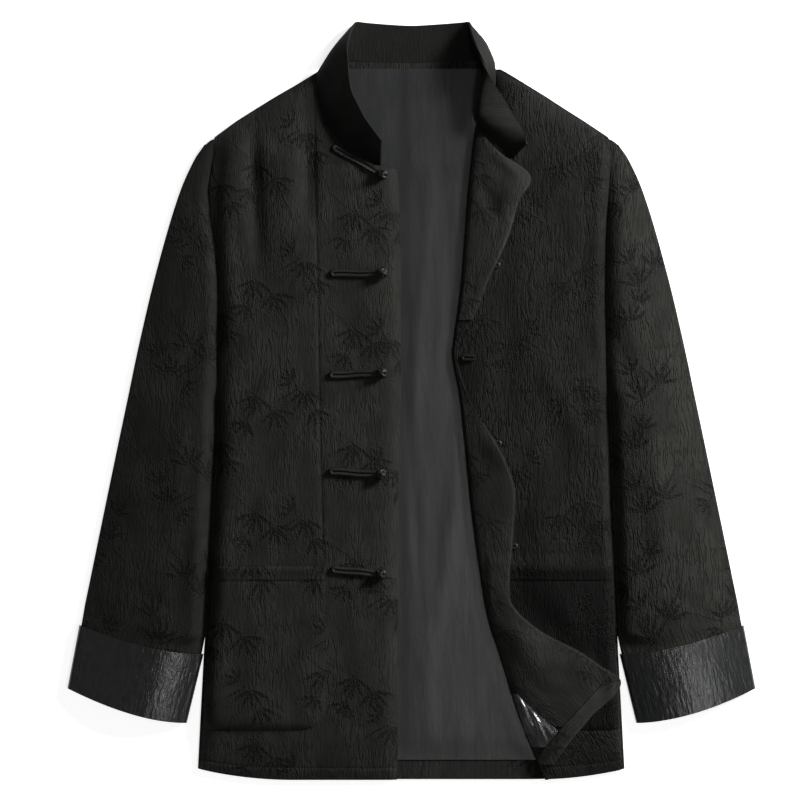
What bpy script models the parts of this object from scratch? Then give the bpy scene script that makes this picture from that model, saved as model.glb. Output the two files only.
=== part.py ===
"""Tang jacket lying flat on its back, with its own left front folded open.

The jacket lies front up on the XY plane, collar towards +Y and hem towards -Y. Left and right in the
names of pieces are the wearer's, so the right front lies at -X. Every outline is a short table in
millimetres: a row for each cross-section, and a named column for each edge that it crosses. Each panel is
a sheet through those sections, given its thickness by Solidify. What lies on a panel is made from the
panel's own height, moved up.
"""

import math
from collections import namedtuple

import bmesh
import bpy
import numpy as np

MM = 0.001
GAP = 0.3  # between pieces that are sewn to each other or lie on each other
SEAM = 0.9  # between the middles of two walls that meet edge to edge, whose cut ends lean

# Thickness of each wall, lining and interlining included
BACK_THICK = 2.0
CLOTH_THICK = 2.2
COLLAR_THICK = 2.4
CUFF_THICK = 1.8
FACING_THICK = 1.0
LINING_THICK = 0.8
POCKET_THICK = 1.2

# Heights of a wall's middle above the floor
UNDER_Z = CLOTH_THICK / 2
EDGE_Z = 4.6  # a front or sleeve at its edges, where it lies on the layer below
CROWN_Z = 11.0  # the same wall away from its edges
CROWN_REACH = 30.0  # how far from an edge the wall takes to rise
SLEEVE_CROWN_Z = 17.0  # the top of a sleeve, and how much of that its end and the cuff still have
CUFF_RISE = 6.4
SIDE_RADIUS = (EDGE_Z - UNDER_Z) / 2
ROLL_TOP = 284.0  # above this the left front isn't turned back
ROLL_OPENS = 11.0  # the height on the table in which its fold opens fully
ROLL_RADIUS = 1.9  # of the fold where the left front turns back
ROLL_REACH = 17.0  # how far from that fold the two layers lie close
FOLD_CLEAR = 0.35  # more between a folded wall and what is sewn to its inner face
STACK = CLOTH_THICK + 0.4  # middle to middle of two layers that lie on each other

ARMPIT_Y = 5.0
HEM_Y = -386.0
HEM_CURVE_FROM = -330.0  # below this the rows bend with the hem, up towards the sides
HEM_FLAT_HALF = 120.0  # half the hem's straight middle
HEM_CURVE_WIDTH = 97.0  # from there to the side
HEM_CURVE_LIFT = 0.2  # of the height below HEM_CURVE_FROM, at the side
SIDE_WRAP = 45.0  # how far a front reaches round to the underside

Side = namedtuple("Side", "y left right")
# The shoulder line down to the shoulder points, then the armhole seams, then the side folds
BODY = [
    Side(338, -91.0, 88.0),
    Side(333, -97.5, 97.5),
    Side(321, -117.0, 117.0),
    Side(309, -138.0, 136.5),
    Side(296, -159.0, 156.5),
    Side(284, -178.0, 175.5),
    Side(267, -201.0, 201.0),
    Side(250, -202.5, 203.0),
    Side(214, -208.0, 201.0),
    Side(188, -206.0, 199.0),
    Side(158, -200.5, 197.7),
    Side(128, -197.6, 197.55),
    Side(98, -197.0, 197.4),
    Side(38, -198.5, 198.4),
    Side(-35, -198.7, 201.4),
    Side(-112, -203.0, 204.5),
    Side(-190, -206.5, 208.0),
    Side(-258, -211.5, 210.5),
    Side(-330, -215.3, 214.5),
    Side(-386, -217.5, 217.0),
]
SHOULDER_POINT = 6  # the row of BODY where the shoulder line ends

Edge = namedtuple("Edge", "y x")
# The right front's inner edge: the neck seam from the shoulder, then the straight front edge
RIGHT_FRONT_EDGE = [
    Edge(338, -88.0),
    Edge(327, -94.0),
    Edge(306, -92.0),
    Edge(286, -87.0),
    Edge(271, -77.0),
    Edge(258, -66.0),
    Edge(251, -54.0),
    Edge(244, -43.0),
    Edge(238, -30.0),
    Edge(235, -16.5),
    Edge(200, -13.5),
    Edge(150, -11.7),
    Edge(0, -11.7),
    Edge(-60, -14.0),
    Edge(-386, -15.0),
]
# The left front's inner edge as it lies: the neck seam, then the fold of the lapel, the bulge of the
# front edge between the two folds, and the fold of the skirt down to the hem
LEFT_FRONT_EDGE = [
    Edge(338, 85.5),
    Edge(327, 87.5),
    Edge(315, 86.5),
    Edge(301, 81.0),
    Edge(288, 73.0),
    Edge(279, 66.5),
    Edge(255, 62.7),
    Edge(194, 56.6),
    Edge(125, 51.5),
    Edge(76, 45.4),
    Edge(46, 41.7),
    Edge(29, 44.4),
    Edge(15, 47.4),
    Edge(-46, 54.6),
    Edge(-108, 60.7),
    Edge(-169, 68.9),
    Edge(-218, 77.0),
    Edge(-267, 92.3),
    Edge(-316, 107.6),
    Edge(-363, 126.0),
    Edge(-386, 135.8),
]
# The free edge of what is turned back: the neck seam and front edge of the lapel, a narrow rolled edge
# between the folds, then the front edge of the skirt and, from its corner, the slanting hem
TURNED_EDGE = [
    Edge(279, 66.5),
    Edge(267, 75.5),
    Edge(252, 88.8),
    Edge(243, 101.0),
    Edge(238, 110.0),
    Edge(226, 120.5),
    Edge(222, 120.5),
    Edge(204, 109.7),
    Edge(173, 100.5),
    Edge(150, 91.5),
    Edge(126, 80.0),
    Edge(86, 64.8),
    Edge(62, 49.0),
    Edge(46, 46.6),
    Edge(24, 50.6),
    Edge(6, 56.6),
    Edge(-19, 70.9),
    Edge(-63, 95.4),
    Edge(-96, 105.1),
    Edge(-142, 102.5),
    Edge(-183, 99.5),
    Edge(-200, 99.7),
    Edge(-215, 107.5),
    Edge(-225, 118.0),
    Edge(-238, 136.2),
    Edge(-256, 171.9),
    Edge(-270, 192.3),
    Edge(-281, 209.5),
    Edge(-286, 212.0),
    Edge(-322, 180.0),
    Edge(-362, 150.0),
    Edge(-386, 137.8),
]
# Where the skirt's facing ends and its lining begins, and the top of the turned-up hem
LINING_EDGE = [Edge(-292, 101.5), Edge(-302, 112.3), Edge(-315, 125.4), Edge(-334, 148.4)]
HEM_FOLD = [Edge(-277, 202.0), Edge(-298, 182.6), Edge(-334, 150.0), Edge(-362, 128.5)]

Sleeve = namedtuple("Sleeve", "outer_x outer_y inner_y")
# One sleeve's stations from the shoulder point to near its cuff; its inner edge follows the body
SLEEVE = [
    Sleeve(211.5, 258, 266),
    Sleeve(219.5, 248, 250),
    Sleeve(232.0, 223, 214),
    Sleeve(241.0, 198, 188),
    Sleeve(249.5, 170, 158),
    Sleeve(257.5, 141, 128),
    Sleeve(266.0, 108, 98),
    Sleeve(281.0, 42, 38),
    Sleeve(288.0, 8, 0),
    Sleeve(296.0, -30, -35),
    Sleeve(312.0, -107, -112),
    Sleeve(327.0, -180, -190),
    Sleeve(333.5, -212, -238),
]
CUFF_OUTER = ((338.5, -228.5), (350.5, -292.5))
CUFF_INNER = ((213.6, -258.0), (229.6, -328.0))
CUFF_BEND = 1.6  # the cuff's edges drop faster near the outside

Station = namedtuple("Station", "seam_x seam_y seam_z bulge_x bulge_y bulge_z top_x top_y top_z")
# The collar from the right front's edge, round the back of the neck, to the left front's edge
COLLAR = [
    Station(-31, 239.5, 7.4, -31, 246, 22, -30, 262.5, 36),
    Station(-44, 246.0, 7.4, -42, 256, 22, -36, 270.5, 36),
    Station(-56, 253.0, 7.4, -52, 264, 22, -42, 278.5, 35),
    Station(-68, 259.5, 7.4, -61, 271, 22, -48, 287.5, 34),
    Station(-79, 272.5, 7.4, -69, 282, 22, -54, 299.0, 32),
    Station(-89, 288.0, 7.4, -77, 296, 20, -60, 312.0, 31),
    Station(-94, 308.0, 7.4, -82, 314, 19, -63, 328.0, 30),
    Station(-96, 328.0, 7.4, -86, 336, 18, -64, 343.0, 28),
    Station(-89, 341.5, 5.0, -88, 351, 15, -65, 356.0, 26),
    Station(-76, 345.5, 2.4, -81, 366, 10, -62, 372.0, 18),
    Station(-60, 346.0, 1.4, -63, 372, 4, -54, 385.4, 6),
    Station(-30, 345.0, 1.2, -30, 366, 1.2, -28, 383.5, 1.2),
    Station(0, 344.5, 1.2, 0, 365, 1.2, 0, 382.0, 1.2),
    Station(30, 345.0, 1.2, 30, 366, 1.2, 28, 383.5, 1.2),
    Station(57, 346.0, 1.4, 62, 372, 5, 57, 385.4, 7),
    Station(73, 345.0, 2.4, 86, 363, 10, 61, 371.0, 20),
    Station(84, 340.5, 5.0, 85, 348, 17, 66, 355.5, 30),
    Station(85, 327.0, 7.4, 74, 334, 24, 73, 340.0, 34),
    Station(84, 315.0, 7.4, 60, 319, 30, 82, 323.0, 26),
    Station(78, 301.0, 7.4, 54, 304, 32, 92, 308.0, 18),
    Station(71, 288.0, 8.4, 55, 291, 32, 101, 292.5, 14),
    Station(68, 281.5, 9.4, 66, 285, 27, 108, 281.5, 15),
    Station(80, 268.0, 9.9, 84, 276, 24, 113, 272.5, 20),
    Station(92, 254.5, 10.9, 98, 262, 22, 115.5, 265.5, 26),
    Station(103, 245.0, 11.9, 109, 252, 22, 116.5, 259.0, 30),
]

NECK_Y = 343.0  # the back's neck seam
# The back's lining, which ends at the turned-up hem and under the fronts' edges
BACK_LINING = [
    (-70, 338), (-70, 240), (-60, 220), (-60, -366), (150, -366), (110, -240), (100, 250), (70, 338),
]  # fmt: skip

POCKET_TOP, POCKET_BOTTOM = -168.0, -333.5
POCKET_INNER = 87.0  # distance of its inner edge from the middle
POCKET_CORNER = 24.0  # radius of its lower inner corner
POCKET_CLEAR = 0.2  # more below and above it, where its sections run beside the front's own
POCKET_LIFT = POCKET_THICK + GAP + 3 * POCKET_CLEAR

FROG_CORD = 2.0  # radius of a frog's cord
KNOT_RADIUS = 4.9
Frog = namedtuple("Frog", "tail_x tail_y knot_x knot_y")
FROGS = [
    Frog(-77.0, 256.0, -29.0, 229.0),
    Frog(-79.0, 129.0, -29.5, 129.0),
    Frog(-80.0, 26.0, -29.5, 28.0),
    Frog(-80.0, -72.0, -30.5, -75.0),
    Frog(-78.0, -171.5, -30.5, -176.0),
]
Loop = namedtuple("Loop", "y tip root")
# The left front's loops: the height on the table of each, and the x where it bends and where it ends.
# The first lies hidden under the lapel, and the third in full view on the bulge between the two folds
LOOP_RADIUS = 1.8
LOOP_LIFT = 2 * LOOP_RADIUS + GAP
LOOPS = [
    Loop(216.0, 108.0, 94.0),
    Loop(137.5, 86.9, 74.5),
    Loop(43.5, 53.6, 65.0),
    Loop(-43.5, 88.4, 76.0),
    Loop(-148.0, 104.9, 92.5),
]

# Columns across each part of a section
WRAP_STEPS, ARC_STEPS, FRONT_STEPS, TURN_STEPS = 2, 3, 6, 5
# Heights of each front's sections. The back's side edges use the same ones
RIGHT_ROWS = [
    337, 326, 312, 298, 284, 267, 250, 243, 238, 235, 214, 188, 158, 128, 98, 38, 14, -2, -16, -35,
    -60, -86, -112, -152, -168, -190, -258, -298, -312, -323, -330, -333.5, -352, -370, -386,
]  # fmt: skip
LEFT_ROWS = [
    337, 326, 312, 298, 284, 280.5, 277, 273, 267, 250, 238, 226, 221, 214, 201, 188, 158, 143, 132,
    118, 98, 82, 58,
    38, 28, 14, -2, -16, -25, -38, -49, -63, -86, -112, -128, -142, -154, -168, -190, -205, -215,
    -234, -258, -278, -285, -298, -312, -323, -330, -333.5, -352, -370, -386,
]  # fmt: skip


def straight_line(table, column):
    """A function of y through the table's rows, straight between them."""
    ys = [row.y for row in table][::-1]
    xs = [getattr(row, column) for row in table][::-1]
    return lambda y: float(np.interp(y, ys, xs))


def smooth_line(table, column):
    """A function of y through the table's rows, smooth and without overshoot."""
    ys = np.array([row.y for row in table], float)[::-1]
    xs = np.array([getattr(row, column) for row in table], float)[::-1]
    steps = np.diff(ys)
    slopes = np.diff(xs) / steps
    tangents = np.zeros(len(ys))
    tangents[0], tangents[-1] = slopes[0], slopes[-1]
    for i in range(1, len(ys) - 1):
        if slopes[i - 1] * slopes[i] > 0:
            weights = (2 * steps[i] + steps[i - 1], steps[i] + 2 * steps[i - 1])
            tangents[i] = sum(weights) / (weights[0] / slopes[i - 1] + weights[1] / slopes[i])

    def line(y):
        y = min(max(y, ys[0]), ys[-1])
        i = min(int(np.searchsorted(ys, y, side="right")) - 1, len(steps) - 1)
        t = (y - ys[i]) / steps[i]
        return float(
            xs[i] * (1 + 2 * t) * (1 - t) ** 2
            + xs[i + 1] * t * t * (3 - 2 * t)
            + steps[i] * t * (1 - t) * (tangents[i] * (1 - t) - tangents[i + 1] * t)
        )

    return line


body_left = straight_line(BODY, "left")
body_right = straight_line(BODY, "right")
right_front_edge = smooth_line(RIGHT_FRONT_EDGE, "x")
left_front_edge = smooth_line(LEFT_FRONT_EDGE, "x")
turned_edge = smooth_line(TURNED_EDGE, "x")
lining_edge = straight_line(LINING_EDGE, "x")
hem_fold = straight_line(HEM_FOLD, "x")


def ramp(value, start, end):
    """0 at start, 1 at end, smooth between."""
    t = min(max((value - start) / (end - start), 0.0), 1.0)
    return t * t * (3 - 2 * t)


def rise(distance):
    """How much of the crown's height a wall has this far from its edge, from 0 to 1."""
    return 1 - math.exp(-max(distance, 0.0) / CROWN_REACH)


def hem_bend(x, y):
    """The height on the table of a row's point: the hem curves up towards the sides."""
    if y > HEM_CURVE_FROM:
        return y
    lift = HEM_CURVE_LIFT * (max(abs(x) - HEM_FLAT_HALF, 0.0) / HEM_CURVE_WIDTH) ** 2
    return HEM_CURVE_FROM + (y - HEM_CURVE_FROM) * (1 - lift)


def shoulder_y(x):
    """The shoulder line's place above x."""
    rows = BODY[: SHOULDER_POINT + 1]
    xs = [abs(row.left if x < 0 else row.right) for row in rows]
    return float(np.interp(abs(x), xs, [row.y for row in rows]))


def front_height(x, y, side, inner):
    """Middle of a front's wall: low at its edges and crowned between them."""
    share = rise(abs(side - x)) * rise(abs(x - inner)) * rise(y - HEM_Y) * rise(shoulder_y(x) - y)
    return EDGE_Z + (CROWN_Z - EDGE_Z) * share


def right_front_height(x, y):
    return front_height(x, y, body_left(y), right_front_edge(y))


def left_front_height(x, y):
    return front_height(x, y, body_right(y), left_front_edge(y))


def loop_lift(x, y):
    """How much the loops under a turned edge lift it."""
    lift = 0.0
    for loop in LOOPS:
        if loop.root < loop.tip:
            near = 1 - ramp(abs(y - loop.y), 6.0, 20.0)
            lift = max(lift, LOOP_LIFT * near * ramp(x, loop.root - 15.0, loop.root - 2.0))
    return lift


def turned_height(x, y):
    """Middle of the turned-back layer, on the front, its pocket and the loops below it."""
    away = x - left_front_edge(y)
    pocket = POCKET_LIFT * ramp(y, POCKET_TOP + 16, POCKET_TOP + 1) * ramp(x, 72.0, 82.0)
    roll = (2 * ROLL_RADIUS - STACK) * math.exp(-max(away, 0.0) / 12.0)
    return left_front_height(x, y) + STACK + roll + pocket + loop_lift(x, y)


def side_path(y, side, inward):
    """The wall from its seam on the underside, round the side fold, to the top: a list of (x, z).

    inward is +1 at the left side and -1 at the right. Above the armpit the wall isn't folded, because it
    ends at the armhole, so the arc and the wrap close up to almost nothing there.
    """
    closed = max(ramp(y, ARMPIT_Y + 8, ARMPIT_Y - 30), 0.2)
    flat = 0.4 + SIDE_WRAP * ramp(y, ARMPIT_Y - 30, ARMPIT_Y - 110)
    start = math.pi / 2 - math.pi * closed
    middle_z = (UNDER_Z + EDGE_Z) / 2
    reach = (SIDE_RADIUS + CLOTH_THICK / 2) * math.sin(min(math.pi * closed, math.pi / 2))
    centre = side + inward * (SEAM / 2 + reach)
    path = []
    for i in range(WRAP_STEPS):
        back = flat * (1 - i / WRAP_STEPS)
        x = centre - inward * (SIDE_RADIUS * math.cos(start) - back * math.sin(-start))
        path.append((x, middle_z + SIDE_RADIUS * math.sin(start) - back * math.cos(start)))
    for i in range(ARC_STEPS + 1):
        angle = start + (math.pi / 2 - start) * i / ARC_STEPS
        x = centre - inward * SIDE_RADIUS * math.cos(angle)
        path.append((x, middle_z + SIDE_RADIUS * math.sin(angle)))
    return path


def right_front_top(y):
    """The right front's upper layer from its side to its front edge: a list of (x, z)."""
    first, last = side_path(y, body_left(y), 1)[-1][0], right_front_edge(y)
    xs = [first + (last - first) * i / FRONT_STEPS for i in range(FRONT_STEPS + 1)]
    return [(x, right_front_height(x, y)) for x in xs]


def right_front_section(y):
    path = side_path(y, body_left(y), 1)[:-1] + right_front_top(y)
    return [(x, hem_bend(x, y), z) for x, z in path]


def roll_path(y):
    """The fold of the left front and what is turned back beyond it: a list of (x, z)."""
    edge, free = left_front_edge(y), turned_edge(y)
    turn = math.pi * min(max((ROLL_TOP - y) / ROLL_OPENS, 0.2), 1.0)
    centre = edge + (ROLL_RADIUS + CLOTH_THICK / 2) * math.sin(min(turn, math.pi / 2))
    path = []
    for i in range(ARC_STEPS + 1):
        angle = turn * i / ARC_STEPS
        x = centre - ROLL_RADIUS * math.sin(angle)
        path.append((x, EDGE_Z + ROLL_RADIUS * (1 - math.cos(angle))))
    flat = max(free - centre, 0.6) if turn >= math.pi else 0.6
    x0, z0 = path[-1]
    for i in range(1, TURN_STEPS + 1):
        along = flat * i / TURN_STEPS
        if turn >= math.pi:
            x = x0 + along
            z = turned_height(x, y) + (z0 - turned_height(x0, y)) * math.exp(-along / 6.0)
            path.append((x, z))
        else:
            path.append((x0 - along * math.cos(turn), z0 + along * math.sin(turn)))
    return path


def left_front_top(y):
    """The left front's lower layer from its side to its fold: a list of (x, z)."""
    first, last = side_path(y, body_right(y), -1)[-1][0], roll_path(y)[0][0]
    xs = [first + (last - first) * i / FRONT_STEPS for i in range(FRONT_STEPS + 1)]
    return [(x, left_front_height(x, y)) for x in xs]


def left_front_turned(y):
    """What lies beyond the fold: a list of (x, z)."""
    return roll_path(y)[ARC_STEPS:]


def left_front_section(y):
    path = side_path(y, body_right(y), -1)[:-1] + left_front_top(y) + roll_path(y)[1:]
    return [(x, hem_bend(x, y), z) for x, z in path]


def material(name, colour, roughness, metallic=0.0):
    made = bpy.data.materials.new(name)
    made.use_nodes = True
    shader = made.node_tree.nodes["Principled BSDF"]
    shader.inputs["Base Color"].default_value = (*colour, 1.0)
    shader.inputs["Roughness"].default_value = roughness
    shader.inputs["Metallic"].default_value = metallic
    return made


class Workshop:
    """Makes the jacket's pieces in one collection, each with its own material."""

    def __init__(self):
        self.collection = bpy.data.collections.new("tang_jacket")
        bpy.context.scene.collection.children.link(self.collection)

    def add(self, name, data, colour, roughness):
        piece = bpy.data.objects.new(name, data)
        data.materials.append(material(name, colour, roughness))
        self.collection.objects.link(piece)
        return piece

    def sheet(self, name, rows, thick, colour, roughness, ring=False):
        """A wall of even thickness through rows of (x, y, z) in millimetres, all of one length.

        With ring, each row's two ends are joined where they meet.
        """
        form = bmesh.new()
        grid = [[form.verts.new([c * MM for c in point]) for point in row] for row in rows]
        for above, below in zip(grid, grid[1:]):
            for i in range(len(above) - 1):
                form.faces.new((above[i], below[i], below[i + 1], above[i + 1]))
        if ring:
            bmesh.ops.remove_doubles(form, verts=form.verts, dist=1e-6)
        bmesh.ops.recalc_face_normals(form, faces=form.faces)
        mesh = bpy.data.meshes.new(name)
        form.to_mesh(mesh)
        form.free()
        mesh.shade_smooth()
        piece = self.add(name, mesh, colour, roughness)
        wall = piece.modifiers.new("wall", "SOLIDIFY")
        wall.thickness = thick * MM
        wall.offset = 0.0
        wall.use_quality_normals = True
        return piece

    def flat_panel(self, name, outline, bottom, thick, colour, roughness):
        """A flat sheet: an outline of (x, y) in millimetres, filled and extruded."""
        curve = bpy.data.curves.new(name, "CURVE")
        curve.dimensions = "2D"
        curve.fill_mode = "BOTH"
        curve.extrude = thick / 2 * MM
        spline = curve.splines.new("POLY")
        spline.points.add(len(outline) - 1)
        for point, (x, y) in zip(spline.points, outline):
            point.co = (x * MM, y * MM, 0.0, 1.0)
        spline.use_cyclic_u = True
        piece = self.add(name, curve, colour, roughness)
        piece.location.z = (bottom + thick / 2) * MM
        return piece

    def cord(self, name, points, radius, colour, roughness):
        """A round cord along points of (x, y, z) in millimetres."""
        curve = bpy.data.curves.new(name, "CURVE")
        curve.dimensions = "3D"
        curve.bevel_depth = radius * MM
        curve.bevel_resolution = 1
        curve.use_fill_caps = True
        spline = curve.splines.new("POLY")
        spline.points.add(len(points) - 1)
        for point, place in zip(spline.points, points):
            point.co = (*(c * MM for c in place), 1.0)
        return self.add(name, curve, colour, roughness)

    def ball(self, name, centre, radius, colour, roughness):
        form = bmesh.new()
        bmesh.ops.create_uvsphere(form, u_segments=10, v_segments=7, radius=radius * MM)
        mesh = bpy.data.meshes.new(name)
        form.to_mesh(mesh)
        form.free()
        mesh.shade_smooth()
        piece = self.add(name, mesh, colour, roughness)
        piece.location = [c * MM for c in centre]
        return piece


CREPE = ((0.012, 0.012, 0.011), 0.8)
SATIN = ((0.016, 0.017, 0.019), 0.35)
LINING = ((0.05, 0.05, 0.052), 0.4)


def back_inset(y):
    """How far inside the body's line the back's edge lies: at its seam with the wrapped front."""
    wrapped = SIDE_WRAP * ramp(y, ARMPIT_Y - 30, ARMPIT_Y - 110)
    fold = SIDE_RADIUS + CLOTH_THICK / 2 + 0.95
    return SEAM / 2 + fold * ramp(y, ARMPIT_Y + 26, ARMPIT_Y + 9) + wrapped


def build_back(shop):
    """The back on the table, and the lining that shows between the open fronts."""
    left = [(body_left(y) + back_inset(y), y) for y in RIGHT_ROWS]
    right = [(body_right(y) - back_inset(y), y) for y in LEFT_ROWS]
    hem = [(x, HEM_Y) for x in (-90.0, 0.0, 90.0)]
    neck = [(x, NECK_Y) for x in (60.0, -60.0)]
    outline = [(x, hem_bend(x, y)) for x, y in left + hem + right[::-1] + neck]
    shop.flat_panel("back", outline, 0.0, BACK_THICK, *CREPE)
    shop.flat_panel("back_lining", BACK_LINING, BACK_THICK + GAP, LINING_THICK, *LINING)


def build_fronts(shop):
    rows = [right_front_section(y) for y in RIGHT_ROWS]
    shop.sheet("right_front", rows, CLOTH_THICK, *CREPE)
    rows = [left_front_section(y) for y in LEFT_ROWS]
    shop.sheet("left_front", rows, CLOTH_THICK, *CREPE)


def laid_rows(ys, left, right, surface, lift, steps):
    """Rows of a piece that lies on a panel, from left(y) to right(y).

    surface(y) gives the panel's own points in that section as (x, z), and lift is the height of the
    piece's middle above the panel's.
    """
    rows = []
    for y in ys:
        panel = sorted(surface(y))
        xs = [left(y) + (right(y) - left(y)) * i / steps for i in range(steps + 1)]
        zs = np.interp(xs, [x for x, _ in panel], [z for _, z in panel])
        rows.append([(x, hem_bend(x, y), float(z) + lift) for x, z in zip(xs, zs)])
    return rows


def build_turned_side(shop):
    """What shows on the turned-back front: two stretches of facing, the lining and the turned-up hem."""
    lift = (CLOTH_THICK + FACING_THICK) / 2 + GAP + FOLD_CLEAR

    def from_fold(y):
        return left_front_edge(y) + ROLL_RADIUS + CLOTH_THICK / 2 + GAP

    def to_edge(y):
        return turned_edge(y) - 1.0

    def facing_left(y):
        return max(from_fold(y), lining_edge(y) + SEAM / 2) if y < LINING_EDGE[0].y else from_fold(y)

    def facing_right(y):
        return min(to_edge(y), hem_fold(y) - SEAM / 2)

    def lining_right(y):
        return min(lining_edge(y), hem_fold(y)) - SEAM / 2

    def hem_left(y):
        return max(hem_fold(y) + SEAM / 2, from_fold(y))

    pieces = [
        ("left_facing_upper", (267, 82), from_fold, to_edge, TURN_STEPS, CREPE),
        ("left_facing_lower", (-2, -330), facing_left, facing_right, TURN_STEPS, CREPE),
        ("left_front_lining", (-298, -352), from_fold, lining_right, 3, LINING),
        ("left_hem_turnup", (-285, -370), hem_left, to_edge, 2, CREPE),
    ]
    for name, (top, bottom), left, right, steps, finish in pieces:
        ys = [y for y in LEFT_ROWS if bottom <= y <= top]
        rows = laid_rows(ys, left, right, left_front_turned, lift, steps)
        shop.sheet(name, rows, FACING_THICK, *finish)


def build_collar(shop):
    """The standing band: each station curves from its seam over its bulge to the top edge."""
    rows = []
    for s in COLLAR:
        seam, bulge, top = (np.array(s[i : i + 3], float) for i in (0, 3, 6))
        ts = [i / 5 for i in range(6)]
        rows.append([(1 - t) ** 2 * seam + 2 * t * (1 - t) * bulge + t * t * top for t in ts])
    shop.sheet("collar", rows, COLLAR_THICK, *CREPE)


def tube_section(width, closed, low_z, edge_z, crown_z):
    """A flattened tube across its width: (share of the width, z) from its inner edge, over the top, round
    the outer fold and back underneath. Where closed is 0 the inner edge is open."""
    radius = (edge_z - low_z) / 2
    middle = (edge_z + low_z) / 2
    reach = radius + CLOTH_THICK / 2
    inner = reach * math.sin(math.pi / 2 * closed)
    outer = width - reach
    points = []
    for i in range(3):
        angle = math.pi / 2 + math.pi / 2 * closed * (1 - i / 2)
        points.append((inner + radius * math.cos(angle), middle + radius * math.sin(angle)))
    for i in range(1, 5):
        x = inner + (outer - inner) * i / 5
        points.append((x, edge_z + (crown_z - edge_z) * rise(x - inner) * rise(outer - x)))
    for i in range(5):
        angle = math.pi / 2 - math.pi * i / 4
        points.append((outer + radius * math.cos(angle), middle + radius * math.sin(angle)))
    for i in range(1, 3):
        points.append((outer + (inner - outer) * i / 3, low_z))
    for i in range(3):
        angle = -math.pi / 2 - math.pi / 2 * closed * i / 2
        points.append((inner + radius * math.cos(angle), middle + radius * math.sin(angle)))
    return [(x / width, z) for x, z in points]


def across(inner, outer, section):
    """The section's points between an inner and an outer (x, y), on a line that bends as the cuff does."""
    rows = []
    for share, z in section:
        bend = max(share, 0.0) ** CUFF_BEND
        x = inner[0] + (outer[0] - inner[0]) * share
        rows.append((x, inner[1] + (outer[1] - inner[1]) * bend, z))
    return rows


def between(pair, share):
    return tuple(a + (b - a) * share for a, b in zip(*pair))


def build_sleeve(shop, name, sign, body_line):
    """A sleeve and its turned-back cuff. sign is -1 at the left of the sheet and +1 at its right."""
    rows = []
    for station in SLEEVE:
        inner = (body_line(station.inner_y) + sign * SEAM / 2, station.inner_y)
        outer = (sign * station.outer_x, station.outer_y)
        width = math.dist(inner, outer)
        closed = ramp(station.inner_y, ARMPIT_Y + 10, ARMPIT_Y - 12)
        crown = SLEEVE_CROWN_Z - 0.6 * (1 - closed)
        rows.append(across(inner, outer, tube_section(width, closed, UNDER_Z, EDGE_Z, crown)))
    inset = CUFF_THICK + GAP + 0.2
    low = CUFF_THICK + GAP + UNDER_Z
    for share in (-0.05, 0.3, 0.63, 0.96):
        inner, outer = between(CUFF_INNER, share), between(CUFF_OUTER, share)
        inner = (sign * (inner[0] + inset), inner[1])
        outer = (sign * (outer[0] - inset), outer[1])
        section = tube_section(math.dist(inner, outer), 1.0, low, low + 3.2, low + 3.2 + CUFF_RISE)
        rows.append(across(inner, outer, section))
    shop.sheet(f"{name}_sleeve", rows, CLOTH_THICK, *CREPE, ring=True)
    rows = []
    for share in (0.0, 0.33, 0.66, 1.0):
        inner, outer = between(CUFF_INNER, share), between(CUFF_OUTER, share)
        inner, outer = (sign * inner[0], inner[1]), (sign * outer[0], outer[1])
        low_z = CUFF_THICK / 2
        top_z = low + 3.2 + (CLOTH_THICK + CUFF_THICK) / 2 + GAP
        section = tube_section(math.dist(inner, outer), 1.0, low_z, top_z, top_z + CUFF_RISE + 0.4)
        rows.append(across(inner, outer, section))
    shop.sheet(f"{name}_cuff", rows, CUFF_THICK, *SATIN, ring=True)


def build_pocket(shop, name, sign, side, surface, ys, fold=None):
    """A patch pocket on a front, from near the side fold to its inner edge, with a round lower corner.

    fold(y), where given, is the line where the front turns back, and the pocket stops short of it.
    """
    lift = (CLOTH_THICK + POCKET_THICK) / 2 + GAP + POCKET_CLEAR

    def inner_edge(y):
        below = max(POCKET_BOTTOM + POCKET_CORNER - y, 0.0)
        cut = POCKET_CORNER - math.sqrt(max(POCKET_CORNER**2 - below**2, 0.0))
        edge = sign * (POCKET_INNER + cut)
        return max(edge, fold(y) + ROLL_REACH) if fold else edge

    def outer_edge(y):
        return side(y) - sign * (SIDE_RADIUS + CLOTH_THICK / 2 + 0.8)

    ys = [y for y in ys if POCKET_BOTTOM <= y <= POCKET_TOP]
    rows = laid_rows(ys, outer_edge, inner_edge, surface, lift, FRONT_STEPS)
    shop.sheet(f"{name}_pocket", rows, POCKET_THICK, *CREPE)


def hairpin(bend_at, ends_at, half, height, steps):
    """A cord's two strands side by side: from ends_at, round a bend at bend_at, and back.

    half is half the distance between the strands' middles, and height(x, y) the cord's own.
    """
    length = math.dist(bend_at, ends_at)
    along = ((ends_at[0] - bend_at[0]) / length, (ends_at[1] - bend_at[1]) / length)
    strand = [(length * (1 - i / steps), half) for i in range(steps)]
    turns = [math.pi * i / 5 for i in range(6)]
    bend = [(-half * math.sin(turn), half * math.cos(turn)) for turn in turns]
    points = []
    for x, y in strand + bend + [(x, -y) for x, y in strand[::-1]]:
        px = bend_at[0] + along[0] * x - along[1] * y
        py = bend_at[1] + along[1] * x + along[0] * y
        points.append((px, py, height(px, py)))
    return points


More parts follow.
